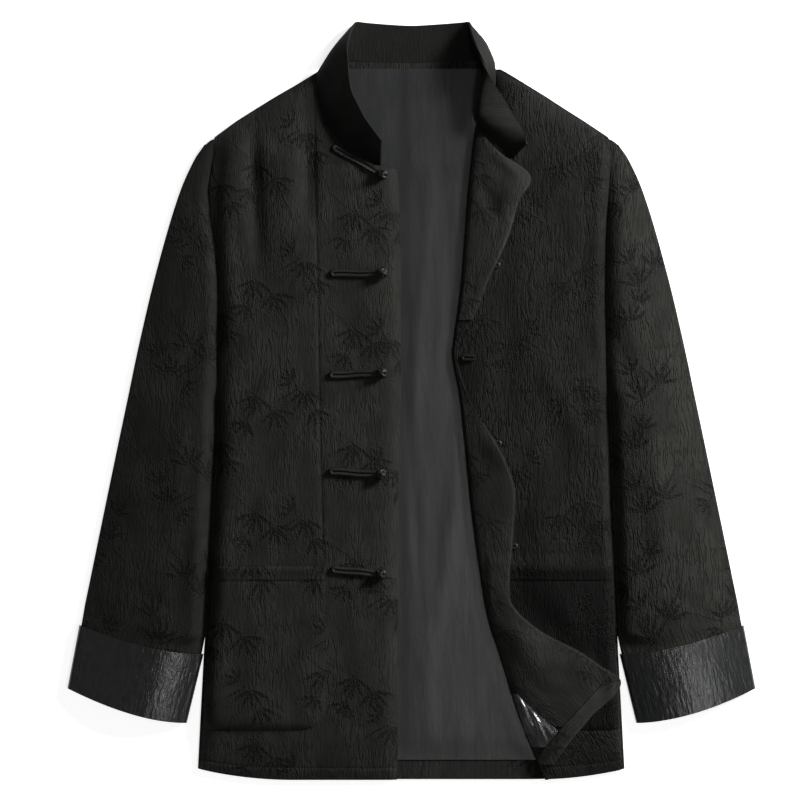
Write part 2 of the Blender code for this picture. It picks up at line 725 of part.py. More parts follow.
def build_frogs(shop):
    """Five cord frogs with ball knots on the right front, and their loops on the left front."""
    lift = CLOTH_THICK / 2 + GAP + 0.2
    for number, frog in enumerate(FROGS, start=1):
        tail, knot = (frog.tail_x, frog.tail_y), (frog.knot_x, frog.knot_y)
        share = 1 - (KNOT_RADIUS + 0.6) / math.dist(tail, knot)
        points = hairpin(
            tail,
            between((tail, knot), share),
            FROG_CORD + GAP / 2,
            lambda x, y: right_front_height(x, y) + lift + FROG_CORD,
            3,
        )
        shop.cord(f"frog_cord_{number}", points, FROG_CORD, *CREPE)
        z = right_front_height(*knot) + lift + GAP + KNOT_RADIUS
        shop.ball(f"frog_knot_{number}", (*knot, z), KNOT_RADIUS, *CREPE)
    for number, loop in enumerate(LOOPS, start=1):
        points = hairpin(
            (loop.tip, loop.y),
            (loop.root, loop.y),
            LOOP_RADIUS + GAP / 2,
            lambda x, y: left_front_height(x, y) + lift + LOOP_RADIUS,
            2,
        )
        shop.cord(f"frog_loop_{number}", points, LOOP_RADIUS, *CREPE)


def main():
    for old in list(bpy.data.objects):
        bpy.data.objects.remove(old)
    shop = Workshop()
    build_back(shop)
    build_fronts(shop)
    build_turned_side(shop)
    build_collar(shop)
    build_sleeve(shop, "right", -1, body_left)
    build_sleeve(shop, "left", 1, body_right)
    build_pocket(shop, "right", -1, body_left, right_front_top, RIGHT_ROWS)
    build_pocket(shop, "left", 1, body_right, left_front_top, LEFT_ROWS, left_front_edge)
    build_frogs(shop)


main()
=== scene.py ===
"""Looks of a tang jacket that lies flat with its left front folded open.

Fine cloth, knotted frogs and stitching stand for the jacket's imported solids. Lengths are millimetres in
the jacket's own frame (+X to the wearer's left, +Y to the collar, +Z up from the table) until a mesh is
written in metres. Each piece of cloth is a grid of points that also knows where each point lay on the cut
cloth, so that crinkle and jacquard follow the grain.
"""

from __future__ import annotations

import logging
import math
from dataclasses import dataclass
from enum import Enum
from typing import ClassVar, Sequence

import bpy
import numpy as np
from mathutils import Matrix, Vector

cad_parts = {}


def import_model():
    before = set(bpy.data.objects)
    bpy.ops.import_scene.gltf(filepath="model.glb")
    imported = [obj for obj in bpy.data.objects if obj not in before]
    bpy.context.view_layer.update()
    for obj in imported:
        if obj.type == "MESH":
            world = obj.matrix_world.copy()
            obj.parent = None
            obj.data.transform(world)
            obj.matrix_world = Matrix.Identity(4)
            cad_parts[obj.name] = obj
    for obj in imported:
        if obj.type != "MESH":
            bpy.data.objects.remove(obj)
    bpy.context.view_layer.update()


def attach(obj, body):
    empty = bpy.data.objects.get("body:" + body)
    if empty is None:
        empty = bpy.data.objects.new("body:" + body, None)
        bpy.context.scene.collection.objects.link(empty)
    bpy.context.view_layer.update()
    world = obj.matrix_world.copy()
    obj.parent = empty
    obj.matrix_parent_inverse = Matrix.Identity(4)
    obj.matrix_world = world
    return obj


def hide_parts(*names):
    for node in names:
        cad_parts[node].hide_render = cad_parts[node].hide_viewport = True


log = logging.getLogger("tang_jacket")

MM = 0.001
Array = np.ndarray
Place = tuple[float, float]
Mesh = tuple[Array, Array, list]
Piece = bpy.types.Object
Tree = bpy.types.NodeTree
Node = bpy.types.Node
Socket = bpy.types.NodeSocket


class Slot(Enum):
    """The record's material slots."""

    CREPE = "crepe"
    SATIN = "satin"
    LINING = "lining"
    CORD = "cord"


# ---------------------------------------------------------------- small maths


def ramp(value: Array | float, start: float, end: float) -> Array:
    """Goes smoothly from 0 at start to 1 at end."""
    t = np.clip((np.asarray(value, float) - start) / (end - start), 0.0, 1.0)
    return t * t * (3.0 - 2.0 * t)


def rise(distance: Array, reach: Array | float) -> Array:
    """Share of its full rise that cloth has at a distance from a pressed edge, two thirds at its reach."""
    return 1.0 - np.exp(-np.maximum(distance, 0.0) / reach)


def rounded(distance: Array, reach: Array | float) -> Array:
    """Share of its full rise that cloth has at a distance from an edge that it rolls down to, all at its reach."""
    return 1.0 - (1.0 - np.clip(distance / reach, 0.0, 1.0)) ** 2


def run(path: Array) -> Array:
    """Distance reached along a path at each of its points."""
    return np.concatenate([[0.0], np.cumsum(np.linalg.norm(np.diff(path, axis=0), axis=1))])


def rows_over(y: Array, x: Array) -> Array:
    """Each row's y, once for every point of the row."""
    return np.repeat(y[:, None], x.shape[1], axis=1)


def between(start: Array, end: Array, shares: Array) -> Array:
    """Each row's x at shares of the way from its start to its end."""
    return start[:, None] + (end - start)[:, None] * shares[None, :]


def spread(start: float, end: float, step: float, lines: Sequence[float] = (), half: float = 1.3) -> Array:
    """Evenly spread positions, with three close ones at each stitched line.

    Args:
        start: first position.
        end: last position.
        step: the usual distance between positions.
        lines: positions of stitched lines.
        half: distance from a line to its neighbours.

    Returns:
        The positions, rising.
    """
    even = np.linspace(start, end, max(int(round(abs(end - start) / step)), 2) + 1)
    for line in lines:
        even = even[(np.abs(even - line) > half * 1.6) | (even == start) | (even == end)]
        even = np.append(even, [line - half, line, line + half])
    return np.unique(even)


@dataclass(frozen=True)
class Profile:
    """A line in the plane as a table of (y, x), straight or smooth between its rows."""

    rows: tuple[Place, ...]
    smooth: bool = True

    def at(self, y: Array | float) -> Array:
        """The line's x at each y.

        Args:
            y: heights on the table.

        Returns:
            The x at each height, held at the table's ends.
        """
        table = np.array(sorted(self.rows), float)
        ys, xs = table[:, 0], table[:, 1]
        y = np.clip(np.asarray(y, float), ys[0], ys[-1])
        if not self.smooth or len(ys) < 3:
            return np.interp(y, ys, xs)
        steps = np.diff(ys)
        slopes = np.diff(xs) / steps
        tangents = np.zeros(len(ys))
        tangents[0], tangents[-1] = slopes[0], slopes[-1]
        before, after = slopes[:-1], slopes[1:]
        weights = (2 * steps[1:] + steps[:-1], steps[1:] + 2 * steps[:-1])
        bends = before * after > 0
        safe = np.where(bends, before, 1.0), np.where(bends, after, 1.0)
        mean = (weights[0] + weights[1]) / (weights[0] / safe[0] + weights[1] / safe[1])
        tangents[1:-1] = np.where(bends, mean, 0.0)
        i = np.clip(np.searchsorted(ys, y, side="right") - 1, 0, len(steps) - 1)
        t = (y - ys[i]) / steps[i]
        return (
            xs[i] * (1 + 2 * t) * (1 - t) ** 2
            + xs[i + 1] * t * t * (3 - 2 * t)
            + steps[i] * t * (1 - t) * (tangents[i] * (1 - t) - tangents[i + 1] * t)
        )


@dataclass(frozen=True)
class Crease:
    """A soft trough or ridge in lying cloth.

    x and y are its middle, turn its direction in degrees from +X, width its half-width, height its height
    above the cloth (a trough's is negative), and bow how far its middle is from the line of its ends.
    """

    x: float
    y: float
    turn: float
    length: float
    width: float
    height: float
    bow: float = 0.0

    def lift(self, x: Array, y: Array) -> Array:
        """Height that the crease adds at each point.

        Args:
            x: across the table.
            y: along the table.

        Returns:
            The added height.
        """
        turn = math.radians(self.turn)
        along = (x - self.x) * math.cos(turn) + (y - self.y) * math.sin(turn)
        share = np.clip(along / (self.length / 2), -1.0, 1.0)
        across = (y - self.y) * math.cos(turn) - (x - self.x) * math.sin(turn)
        across = across - self.bow * (1.0 - share**2)
        return self.height * np.exp(-((across / self.width) ** 2)) * (1.0 - share**2) ** 1.5


def creased(creases: Sequence[Crease], x: Array, y: Array) -> Array:
    """Height that a table of creases adds at each point."""
    return sum((crease.lift(x, y) for crease in creases), np.zeros(np.broadcast(x, y).shape))


def ripple(x: Array, y: Array, pitch: float, seed: float) -> Array:
    """An uneven small wave, for puckers beside seams and for slack cloth.

    Args:
        x: across the table.
        y: along the table.
        pitch: rough distance between two crests.
        seed: shifts the pattern.

    Returns:
        The wave, roughly from -1 to 1.
    """
    k = 2.0 * math.pi / pitch
    wander = 1.3 * np.sin(0.31 * k * y + seed) + 0.9 * np.sin(0.23 * k * x - 1.7 * seed)
    first = np.sin(k * (0.25 * x + y) + wander + seed)
    second = np.sin(0.62 * k * (0.5 * x - y) + 1.4 * wander - 2.1 * seed)
    return 0.6 * first + 0.4 * second


# ---------------------------------------------------------------- cloth as grids


@dataclass
class ClothGrid:
    """A piece of cloth: rows of points on its middle, and each one's place on the cut cloth."""

    points: Array
    cut: Array

    @classmethod
    def across_rows(cls, x: Array, y: Array, z: Array, grain: tuple[float, slice] | None = None) -> "ClothGrid":
        """A grid whose cut place across is measured along each row.

        Args:
            x: x of each row's points.
            y: y of each row's points.
            z: z of each row's points.
            grain: the x of a straight line of the weave, and the columns in which the rows cross it. Without
                it, the cut is measured from each row's first point.

        Returns:
            The grid.
        """
        points = np.stack([x, y, z], axis=-1)
        steps = np.linalg.norm(np.diff(points, axis=1), axis=2)
        reached = np.concatenate([np.zeros((len(points), 1)), np.cumsum(steps, axis=1)], axis=1)
        if grain:
            line, columns = grain
            for row, row_x in zip(reached, x):
                on, at = row_x[columns], row[columns]
                order = np.argsort(on)
                row -= np.interp(line, on[order], at[order])
        middles = points[:, points.shape[1] // 2]
        return cls(points, np.stack([reached, rows_over(run(middles), x)], axis=-1))

    @property
    def flat(self) -> tuple[float, float]:
        """Width and length of the cut, in metres."""
        size = self.cut.reshape(-1, 2).max(axis=0) - self.cut.reshape(-1, 2).min(axis=0)
        return float(size[0] * MM), float(size[1] * MM)

    @property
    def area(self) -> float:
        """Area of the cut, in square metres."""
        a = self.cut[1:, 1:] - self.cut[:-1, :-1]
        b = self.cut[:-1, 1:] - self.cut[1:, :-1]
        return float(np.abs(a[..., 0] * b[..., 1] - a[..., 1] * b[..., 0]).sum() / 2 * MM * MM)

    def piece(self, name: str, wall: float, shift: Place = (0.0, 0.0)) -> Piece:
        """Makes the cloth a closed shell of even thickness.

        Args:
            name: the object's name.
            wall: the cloth's thickness.
            shift: moves the weave pattern on this piece, so that two pieces differ.

        Returns:
            The mesh object, with a UV map in metres on the cut cloth.
        """
        rows, columns = self.points.shape[:2]
        index = np.arange(rows * columns).reshape(rows, columns)
        quads = np.stack([index[:-1, :-1], index[1:, :-1], index[1:, 1:], index[:-1, 1:]], axis=-1)
        cut = self.cut.reshape(-1, 2) + np.array(shift)
        cloth = mesh_piece(name, self.points.reshape(-1, 3), quads.reshape(-1, 4).tolist(), cut, merge=1e-6)
        shell = cloth.modifiers.new("wall", "SOLIDIFY")
        shell.thickness = wall * MM
        shell.offset = 0.0
        shell.use_quality_normals = True
        bpy.ops.object.modifier_apply(modifier=shell.name)
        bpy.ops.object.shade_smooth_by_angle(angle=math.radians(50))
        return cloth


def add_object(name: str, data: bpy.types.ID) -> Piece:
    """Puts a mesh, light or camera in the scene."""
    made = bpy.data.objects.new(name, data)
    bpy.context.scene.collection.objects.link(made)
    return made


def select_only(piece: Piece) -> None:
    """Selects one object and makes it the active one."""
    bpy.ops.object.select_all(action="DESELECT")
    piece.select_set(True)
    bpy.context.view_layer.objects.active = piece


def mesh_piece(name: str, points: Array, faces: list, cut: Array, merge: float = 0.0) -> Piece:
    """Makes a mesh object whose faces point outwards, with a UV map in metres on the cut cloth.

    Args:
        name: the object's name.
        points: its points, in millimetres.
        faces: its faces.
        cut: each point's place on the cut, in millimetres.
        merge: points closer than this, in metres, become one.

    Returns:
        The object, selected and active.
    """
    mesh = bpy.data.meshes.new(name)
    mesh.from_pydata((points * MM).tolist(), [], faces)
    corners = np.fromiter((i for face in faces for i in face), int)
    layer = mesh.uv_layers.new(name="cut")
    layer.data.foreach_set("uv", (cut * MM)[corners].astype(np.float32).ravel())
    made = add_object(name, mesh)
    select_only(made)
    bpy.ops.object.mode_set(mode="EDIT")
    bpy.ops.mesh.select_all(action="SELECT")
    if merge:
        bpy.ops.mesh.remove_doubles(threshold=merge)
    bpy.ops.mesh.normals_make_consistent(inside=False)
    bpy.ops.object.mode_set(mode="OBJECT")
    return made


def tube(path: Array, radius: Array | float, sides: int = 10, close: bool = False) -> Mesh:
    """A round cord along a path.

    Args:
        path: points along the cord's middle.
        radius: the cord's radius, one for all or one for each point.
        sides: how many corners its section has.
        close: joins the cord's two ends.

    Returns:
        Its points, their place on the cord as (round, along), and its faces.
    """
    count = len(path)
    ahead = np.roll(path, -1, axis=0) - np.roll(path, 1, axis=0)
    if not close:
        ahead[0], ahead[-1] = path[1] - path[0], path[-1] - path[-2]
    ahead /= np.linalg.norm(ahead, axis=1)[:, None]
    side = np.cross(ahead, [0.0, 0.0, 1.0])
    side[np.linalg.norm(side, axis=1) < 1e-3] = (1.0, 0.0, 0.0)
    for i in range(1, count):
        side[i] = side[i - 1] - ahead[i] * float(side[i - 1] @ ahead[i])
        side[i] /= np.linalg.norm(side[i])
    side[0] /= np.linalg.norm(side[0])
    top = np.cross(ahead, side)
    turns = np.linspace(0.0, 2.0 * math.pi, sides, endpoint=False)
    radii = np.broadcast_to(np.asarray(radius, float), (count,))[:, None, None]
    ring = np.cos(turns)[None, :, None] * side[:, None] + np.sin(turns)[None, :, None] * top[:, None]
    points = (path[:, None] + radii * ring).reshape(-1, 3)
    round_it = turns * float(np.mean(radii))
    cut = np.stack(np.broadcast_arrays(round_it[None, :], run(path)[:, None]), axis=-1).reshape(-1, 2)
    faces = []
    for i in range(count if close else count - 1):
        a, b = i * sides, (i + 1) % count * sides
        faces += [(a + j, a + (j + 1) % sides, b + (j + 1) % sides, b + j) for j in range(sides)]
    if not close:
        faces += [tuple(range(sides))[::-1], tuple((count - 1) * sides + j for j in range(sides))]
    return points, cut, faces


def joined(name: str, parts: Sequence[Mesh]) -> Piece:
    """Makes one mesh object of several sets of points and faces.

    Args:
        name: the object's name.
        parts: (points, cut places, faces) of each part, in millimetres.

    Returns:
        The mesh object.
    """
    points, cuts, faces, first = [], [], [], 0
    for part_points, part_cut, part_faces in parts:
        points.append(part_points)
        cuts.append(part_cut)
        faces += [tuple(first + i for i in face) for face in part_faces]
        first += len(part_points)
    made = mesh_piece(name, np.concatenate(points), faces, np.concatenate(cuts))
    bpy.ops.object.shade_smooth_by_angle(angle=math.radians(60))
    return made


# ---------------------------------------------------------------- finishes


def linear(colour: str) -> tuple[float, float, float, float]:
    """Linear red, green, blue and alpha of an sRGB hex colour, such as "262624"."""
    parts = [int(colour[i : i + 2], 16) / 255.0 for i in (0, 2, 4)]
    red, green, blue = (c / 12.92 if c <= 0.04045 else ((c + 0.055) / 1.055) ** 2.4 for c in parts)
    return red, green, blue, 1.0


def wire(tree: Tree, node: Node, inputs: dict | Sequence) -> None:
    """Sets or links a node's inputs.

    Args:
        tree: the material's node tree.
        node: the node.
        inputs: a value, a socket or a node that gives its first output, by name or number or in order.
    """
    for key, value in inputs.items() if isinstance(inputs, dict) else enumerate(inputs):
        if isinstance(value, Node):
            value = value.outputs[0]
        if isinstance(value, Socket):
            tree.links.new(value, node.inputs[key])
        else:
            node.inputs[key].default_value = value


def add_node(tree: Tree, kind: str, inputs: dict | Sequence = (), **settings: object) -> Node:
    """Adds a node with its settings and links.

    Args:
        tree: the material's node tree.
        kind: the node's type.
        inputs: what each input is set or linked to, as wire takes it.
        **settings: the node's own properties.

    Returns:
        The node.
    """
    node = tree.nodes.new(kind)
    for name, value in settings.items():
        setattr(node, name, value)
    wire(tree, node, inputs)
    return node


# Kinds of shader node that the finishes use most
MATH = "ShaderNodeMath"
VECTOR_MATH = "ShaderNodeVectorMath"
MAPPING = "ShaderNodeMapping"
NOISE = "ShaderNodeTexNoise"
RANGE = "ShaderNodeMapRange"
BLEND = "ShaderNodeMix"
BUMP = "ShaderNodeBump"


@dataclass(frozen=True)
class Finish:
    """A finish of cloth or thread, whose pattern lies on the cut in millimetres."""

    name: str

    def material(self) -> bpy.types.Material:
        """The Blender material, made once."""
        made = bpy.data.materials.get(self.name)
        if not made:
            made = bpy.data.materials.new(self.name)
            made.use_nodes = True
            self.weave(made.node_tree)
        return made

    def weave(self, tree: Tree) -> None:
        """Adds the finish's own nodes to its material's tree."""
        raise NotImplementedError


@dataclass(frozen=True)
class Tuft:
    """Bamboo leaves that spring from one point of a spray: its place and the leaves' directions and length."""

    x: float
    y: float
    turns: tuple[float, ...]
    length: float


@dataclass(frozen=True)
class Spray:
    """A bamboo spray of the jacquard and how it repeats over the cloth."""

    tufts: tuple[Tuft, ...]
    stems: tuple[tuple[float, float, float, float], ...]
    repeat: Place
    drop: float
    offset: Place

    LEAF_WIDTH: ClassVar[float] = 3.8
    STEM_WIDTH: ClassVar[float] = 1.6

    def shapes(self) -> list[tuple[float, float, float, float, float]]:
        """Every leaf and stem as the middle, direction, length and width of a long oval."""
        found = []
        for tuft in self.tufts:
            for turn in tuft.turns:
                reach = tuft.length / 2 + 1.5
                x = tuft.x + reach * math.cos(math.radians(turn))
                y = tuft.y + reach * math.sin(math.radians(turn))
                found.append((x, y, turn, tuft.length, self.LEAF_WIDTH))
        for x, y, turn, length in self.stems:
            found.append((x, y, turn, length, self.STEM_WIDTH))
        return found


BOUGH = Spray(
    tufts=(
        Tuft(-7, 15, (-158, -126, -98, -70, -38), 20),
        Tuft(12, 1, (-134, -104, -76, -46, -12), 19),
        Tuft(-15, -10, (-168, -134, -102, -72), 16),
    ),
    stems=((3, 6, -42, 52), (-11, 3, -112, 34), (20, -18, -64, 30)),
    repeat=(101, 118),
    drop=0.42,
    offset=(0, 0),
)
TWIG = Spray(
    tufts=(
        Tuft(1, 12, (-146, -116, -88, -60, -30), 19),
        Tuft(-11, 20, (158, -168, 124, 92), 14),
        Tuft(9, -7, (-112, -82, -50, -20), 17),
    ),
    stems=((0, 3, -60, 50), (-16, 8, -150, 26)),
    repeat=(89, 131),
    drop=0.61,
    offset=(52, 66),
)


@dataclass(frozen=True)
class CrepeJacquard(Finish):
    """Black crinkled crepe with a bamboo jacquard in its own colour.

    The crepe yarns pull the cloth into fine creases along the warp, so light breaks into short dark strokes; the
    creases' valleys are also coloured darker, a painted shade.
    The sprays are woven in another bind and pucker more finely, so on the cloth they have no colour of their own;
    here they, and faintly the ground about them, are coloured darker as a painted shade for how that bind takes the
    light.
    crinkle and motif say how much of each shows on a piece. A pitch is in millimetres across and along the warp.
    """

    crinkle: float = 1.0
    motif: float = 1.0
    # Colour of the painted shade on the sprays
    leaf_shade: str = "0d0d0c"
    # Colour of the painted shade in the creases' valleys, and the darker end of the random tone
    shade: str = "1b1b19"
    face: str = "292926"
    roughness: float = 0.78
    specular: float = 0.1
    crease_pitch: Place = (4.3, 27.0)
    fine_pitch: Place = (2.1, 11.0)
    pucker_pitch: Place = (1.7, 2.4)
    gather_pitch: Place = (34.0, 70.0)
    leaf_weave_pitch: Place = (2.2, 3.4)
    worn_pitch: Place = (19.0, 23.0)
    wander_pitch: float = 38.0
    wander: float = 1.5
    ragged_pitch: float = 4.5
    ragged: float = 1.5
    depth: float = 1.0

    def weave(self, tree: Tree) -> None:
        """Adds the crepe's nodes to its material's tree."""
        uv = add_node(tree, "ShaderNodeTexCoord").outputs["UV"]
        cut = add_node(tree, MAPPING, {"Vector": uv, "Scale": (1 / MM, 1 / MM, 1.0)})
        bent = self._bent(tree, cut, self.wander_pitch, self.wander)
        creases = self._valleys(tree, bent, self.crease_pitch, 0.075)
        fine = self._valleys(tree, bent, self.fine_pitch, 0.12)
        gathers = self._patches(tree, cut, self.gather_pitch, 1.0, 0.4, 0.6)
        ragged = self._bent(tree, cut, self.ragged_pitch, self.ragged)
        (leaves, aura), (more_leaves, more_aura) = (self._spray(tree, ragged, spray) for spray in (BOUGH, TWIG))
        leaves = add_node(tree, MATH, [leaves, more_leaves], operation="MAXIMUM")
        aura = add_node(tree, MATH, [aura, more_aura], operation="MAXIMUM")
        woven = self._patches(tree, cut, self.leaf_weave_pitch, 2.0, 0.3, 0.5)
        leaves = add_node(tree, MATH, [leaves, woven], operation="MULTIPLY")
        leaves = add_node(tree, MATH, [leaves, self.motif], operation="MULTIPLY")
        aura = add_node(tree, MATH, [aura, self.motif], operation="MULTIPLY")
        pucker = self._patches(tree, ragged, self.pucker_pitch, 2.0, 0.36, 0.62)
        strength = [gathers, 0.65 * self.crinkle, 0.35 * self.crinkle]
        strength = add_node(tree, MATH, strength, operation="MULTIPLY_ADD")
        ground = add_node(tree, MATH, [creases, 0.7], operation="MULTIPLY")
        ground = add_node(tree, MATH, [fine, 0.3, ground], operation="MULTIPLY_ADD")
        ground = add_node(tree, MATH, [ground, strength], operation="MULTIPLY")
        height = add_node(tree, MATH, [aura, 0.3], operation="MULTIPLY")
        height = add_node(tree, MATH, [height, pucker, ground], operation="MULTIPLY_ADD")
        height = add_node(tree, MATH, [leaves, -0.25, height], operation="MULTIPLY_ADD")
        bump = add_node(tree, BUMP, {"Strength": 1.0, "Distance": self.depth * MM, "Height": height})
        worn = self._noise(tree, cut, self.worn_pitch, 3.0)
        # Painted shade: the creases' valleys are coloured towards the shade colour; worn adds a random unevenness of
        # tone.
        tone = add_node(tree, MATH, [ground, 0.7], operation="MULTIPLY")
        tone = add_node(tree, MATH, [worn, 0.5, tone], operation="MULTIPLY_ADD")
        tone = add_node(tree, RANGE, [tone, 0.1, 0.72], interpolation_type="SMOOTHSTEP")
        colour = {0: tone, 6: linear(self.shade), 7: linear(self.face)}
        colour = add_node(tree, BLEND, colour, data_type="RGBA").outputs[2]
        # Painted shade: the leaves, and faintly the ground about them, are coloured towards leaf_shade.
        dark = add_node(tree, MATH, [leaves, 0.75], operation="MULTIPLY")
        dark = add_node(tree, MATH, [aura, 0.17, dark], operation="MULTIPLY_ADD")
        colour = {0: dark, 6: colour, 7: linear(self.leaf_shade)}
        colour = add_node(tree, BLEND, colour, data_type="RGBA").outputs[2]
        gloss = add_node(tree, RANGE, {0: aura, 3: self.roughness, 4: self.roughness - 0.12})
        look = {"Base Color": colour, "Roughness": gloss, "Normal": bump, "Specular IOR Level": self.specular}
        wire(tree, tree.nodes["Principled BSDF"], look)

    @staticmethod
    def _noise(tree: Tree, place: Node, pitch: Place, detail: float) -> Node:
        """Soft noise, from 0 to 1, with features of a pitch's size across and along."""
        scaled = add_node(tree, MAPPING, {"Vector": place, "Scale": (1 / pitch[0], 1 / pitch[1], 1.0)})
        return add_node(tree, NOISE, {"Vector": scaled, "Scale": 1.0, "Detail": detail})

    def _patches(self, tree: Tree, place: Node, pitch: Place, detail: float, low: float, high: float) -> Node:
        """Soft-edged patches of a pitch's size: noise stretched so that low gives 0 and high gives 1."""
        noise = self._noise(tree, place, pitch, detail)
        return add_node(tree, RANGE, [noise, low, high], interpolation_type="SMOOTHSTEP")

    def _bent(self, tree: Tree, cut: Node, pitch: float, reach: float) -> Node:
        """The cut place pushed about by soft noise, up to a reach, so that no line in it is straight."""
        push = self._noise(tree, cut, (pitch, pitch), 1.0).outputs["Color"]
        return add_node(tree, VECTOR_MATH, [push, (2 * reach, 2 * reach, 0.0), cut], operation="MULTIPLY_ADD")

    def _valleys(self, tree: Tree, place: Node, pitch: Place, half: float) -> Node:
        """Narrow valleys along the warp.

        Args:
            tree: the material's node tree.
            place: the cut place.
            pitch: the valleys' distance apart and their length.
            half: half-width of a valley, as a share of the noise's range.

        Returns:
            Height, from 0 in a valley to 1.
        """
        noise = self._noise(tree, place, pitch, 1.5)
        off_middle = add_node(tree, MATH, [noise, 0.5], operation="SUBTRACT")
        off_middle = add_node(tree, MATH, [off_middle], operation="ABSOLUTE")
        return add_node(tree, RANGE, [off_middle, 0.0, half], interpolation_type="SMOOTHSTEP")

    @staticmethod
    def _spray(tree: Tree, place: Node, spray: Spray) -> tuple[Node, Node]:
        """Draws one spray all over the cloth.

        Args:
            tree: the material's node tree.
            place: the cut place.
            spray: the leaves, stems and repeat.

        Returns:
            The leaves' mask, and a softer one for the ground that puckers about them.
        """
        parts = add_node(tree, "ShaderNodeSeparateXYZ", [place]).outputs
        across, along = (
            add_node(tree, MATH, [part, 1 / repeat, offset / repeat], operation="MULTIPLY_ADD")
            for part, repeat, offset in zip(parts, spray.repeat, spray.offset)
        )
        column = add_node(tree, MATH, [across], operation="FLOOR")
        along = add_node(tree, MATH, [column, spray.drop, along], operation="MULTIPLY_ADD")
        x, y = (add_node(tree, MATH, [way], operation="FRACT") for way in (across, along))
        x, y = (add_node(tree, MATH, [way, 0.5], operation="SUBTRACT") for way in (x, y))
        cell = add_node(tree, "ShaderNodeCombineXYZ", [x, y])
        cell = add_node(tree, MAPPING, {"Vector": cell, "Scale": (*spray.repeat, 1.0)})
        nearest = None
        for px, py, turn, length, width in spray.shapes():
            oval = {
                "Vector": cell,
                "Location": (px, py, 0.0),
                "Rotation": (0.0, 0.0, math.radians(turn)),
                "Scale": (length / 2, width / 2, 1.0),
            }
            local = add_node(tree, MAPPING, oval, vector_type="TEXTURE")
            size = add_node(tree, VECTOR_MATH, [local], operation="LENGTH").outputs["Value"]
            nearest = add_node(tree, MATH, [nearest, size], operation="MINIMUM") if nearest else size
        leaves = add_node(tree, RANGE, [nearest, 1.25, 0.65], interpolation_type="SMOOTHSTEP")
        return leaves, add_node(tree, RANGE, [nearest, 3.2, 1.0], interpolation_type="SMOOTHSTEP")


@dataclass(frozen=True)
class SmoothCloth(Finish):
    """A smooth-faced cloth: satin, lining, the covering of a cord, or thread.

    Long floats of bright yarn give a soft streaked gloss, with faint wrinkles along one direction. ribs is the
    millimetres between the twill's or the bias strip's ribs, and rib_turn their slant in degrees.
    """

    shade: str
    face: str
    roughness: float
    specular: float
    wrinkle_pitch: Place
    depth: float
    ribs: float = 0.0
    rib_depth: float = 0.0
    rib_turn: float = 35.0

    def weave(self, tree: Tree) -> None:
        """Adds the cloth's nodes to its material's tree."""
        uv = add_node(tree, "ShaderNodeTexCoord").outputs["UV"]
        across, along = self.wrinkle_pitch
        place = add_node(tree, MAPPING, {"Vector": uv, "Scale": (1 / MM / across, 1 / MM / along, 1.0)})
        wrinkle = add_node(tree, NOISE, {"Vector": place, "Scale": 1.0, "Detail": 3.0, "Roughness": 0.6})
        normal = add_node(tree, BUMP, {"Strength": 1.0, "Distance": self.depth * MM, "Height": wrinkle})
        if self.ribs:
            scale, turn = 1 / MM / self.ribs, math.radians(self.rib_turn)
            bias = {"Vector": uv, "Rotation": (0.0, 0.0, turn), "Scale": (scale, scale, 1.0)}
            wave = {"Vector": add_node(tree, MAPPING, bias), "Scale": 0.32, "Distortion": 0.6}
            wave = add_node(tree, "ShaderNodeTexWave", wave, wave_profile="SIN").outputs["Fac"]
            ribbed = {"Strength": 1.0, "Distance": self.rib_depth * MM, "Height": wave, "Normal": normal}
            normal = add_node(tree, BUMP, ribbed)
        # Painted light and shade: the colour goes from the shade colour in the wrinkles' troughs to the face colour
        # on their crests.
        tone = add_node(tree, RANGE, [wrinkle, 0.35, 0.65], interpolation_type="SMOOTHSTEP")
        colour = {0: tone, 6: linear(self.shade), 7: linear(self.face)}
        colour = add_node(tree, BLEND, colour, data_type="RGBA").outputs[2]
        look = {"Base Color": colour, "Normal": normal, "Roughness": self.roughness}
        wire(tree, tree.nodes["Principled BSDF"], {**look, "Specular IOR Level": self.specular})


# Crepe of the right front, its pocket and the back: pressed fairly flat, so its bamboo shows more than its creases
CREPE = CrepeJacquard("crinkled_crepe_jacquard", crinkle=0.5)
# Left sleeve: less pressed, so its creases are deeper
LOOSE_CREPE = CrepeJacquard("loose_crepe_jacquard", crinkle=0.8)
# Right sleeve: a little flatter, with its colours darkened, a painted shade for the shade that lies on this sleeve
PAINTED_SHADE_SLEEVE_CREPE = CrepeJacquard("sleeve_crepe_jacquard_painted_shade", crinkle=0.4, shade="171715", face="232321")
# Left front: the least pressed, with deep creases and the bamboo almost lost in them; its colours are darker than
# the right front's, a painted shade over the whole front
SLACK_CREPE_PAINTED_SHADE = CrepeJacquard("slack_crepe_jacquard_painted_shade", crinkle=0.95, shade="121211", face="1e1e1c")
# Left pocket: the same crepe with its colours darkened, a painted shade for the shade that lies on the pocket
PAINTED_SHADE_POCKET_CREPE = CrepeJacquard("pocket_crepe_jacquard_painted_shade", 0.7, leaf_shade="060605", shade="090908", face="0f0f0e")
# Facing of the skirt flap: the same crepe held flat by interfacing, with little of the bamboo; its colours are a
# little lighter than the right front's, a painted light on the flap
FUSED_CREPE_PAINTED_LIGHT = CrepeJacquard("interfaced_crepe_painted_light", crinkle=0.3, motif=0.6, shade="1f1f1d", face="2f2f2c")
# Lapel and turned-up hem: as flat as the facing and turned to the light; their colours are lighter still, a painted
# light
LAPEL_CREPE_PAINTED_LIGHT = CrepeJacquard("lapel_crepe_painted_light", crinkle=0.3, motif=0.6, shade="262624", face="383835")
# Collar: two layers of crepe over stiff canvas, pressed hard, so it is the flattest; its colours are darkened, a
# painted shade for the collar's sides turned from the light
PAINTED_SHADE_COLLAR_CREPE = CrepeJacquard("canvassed_crepe_painted_shade", crinkle=0.2, motif=0.2, shade="151514", face="20201e")
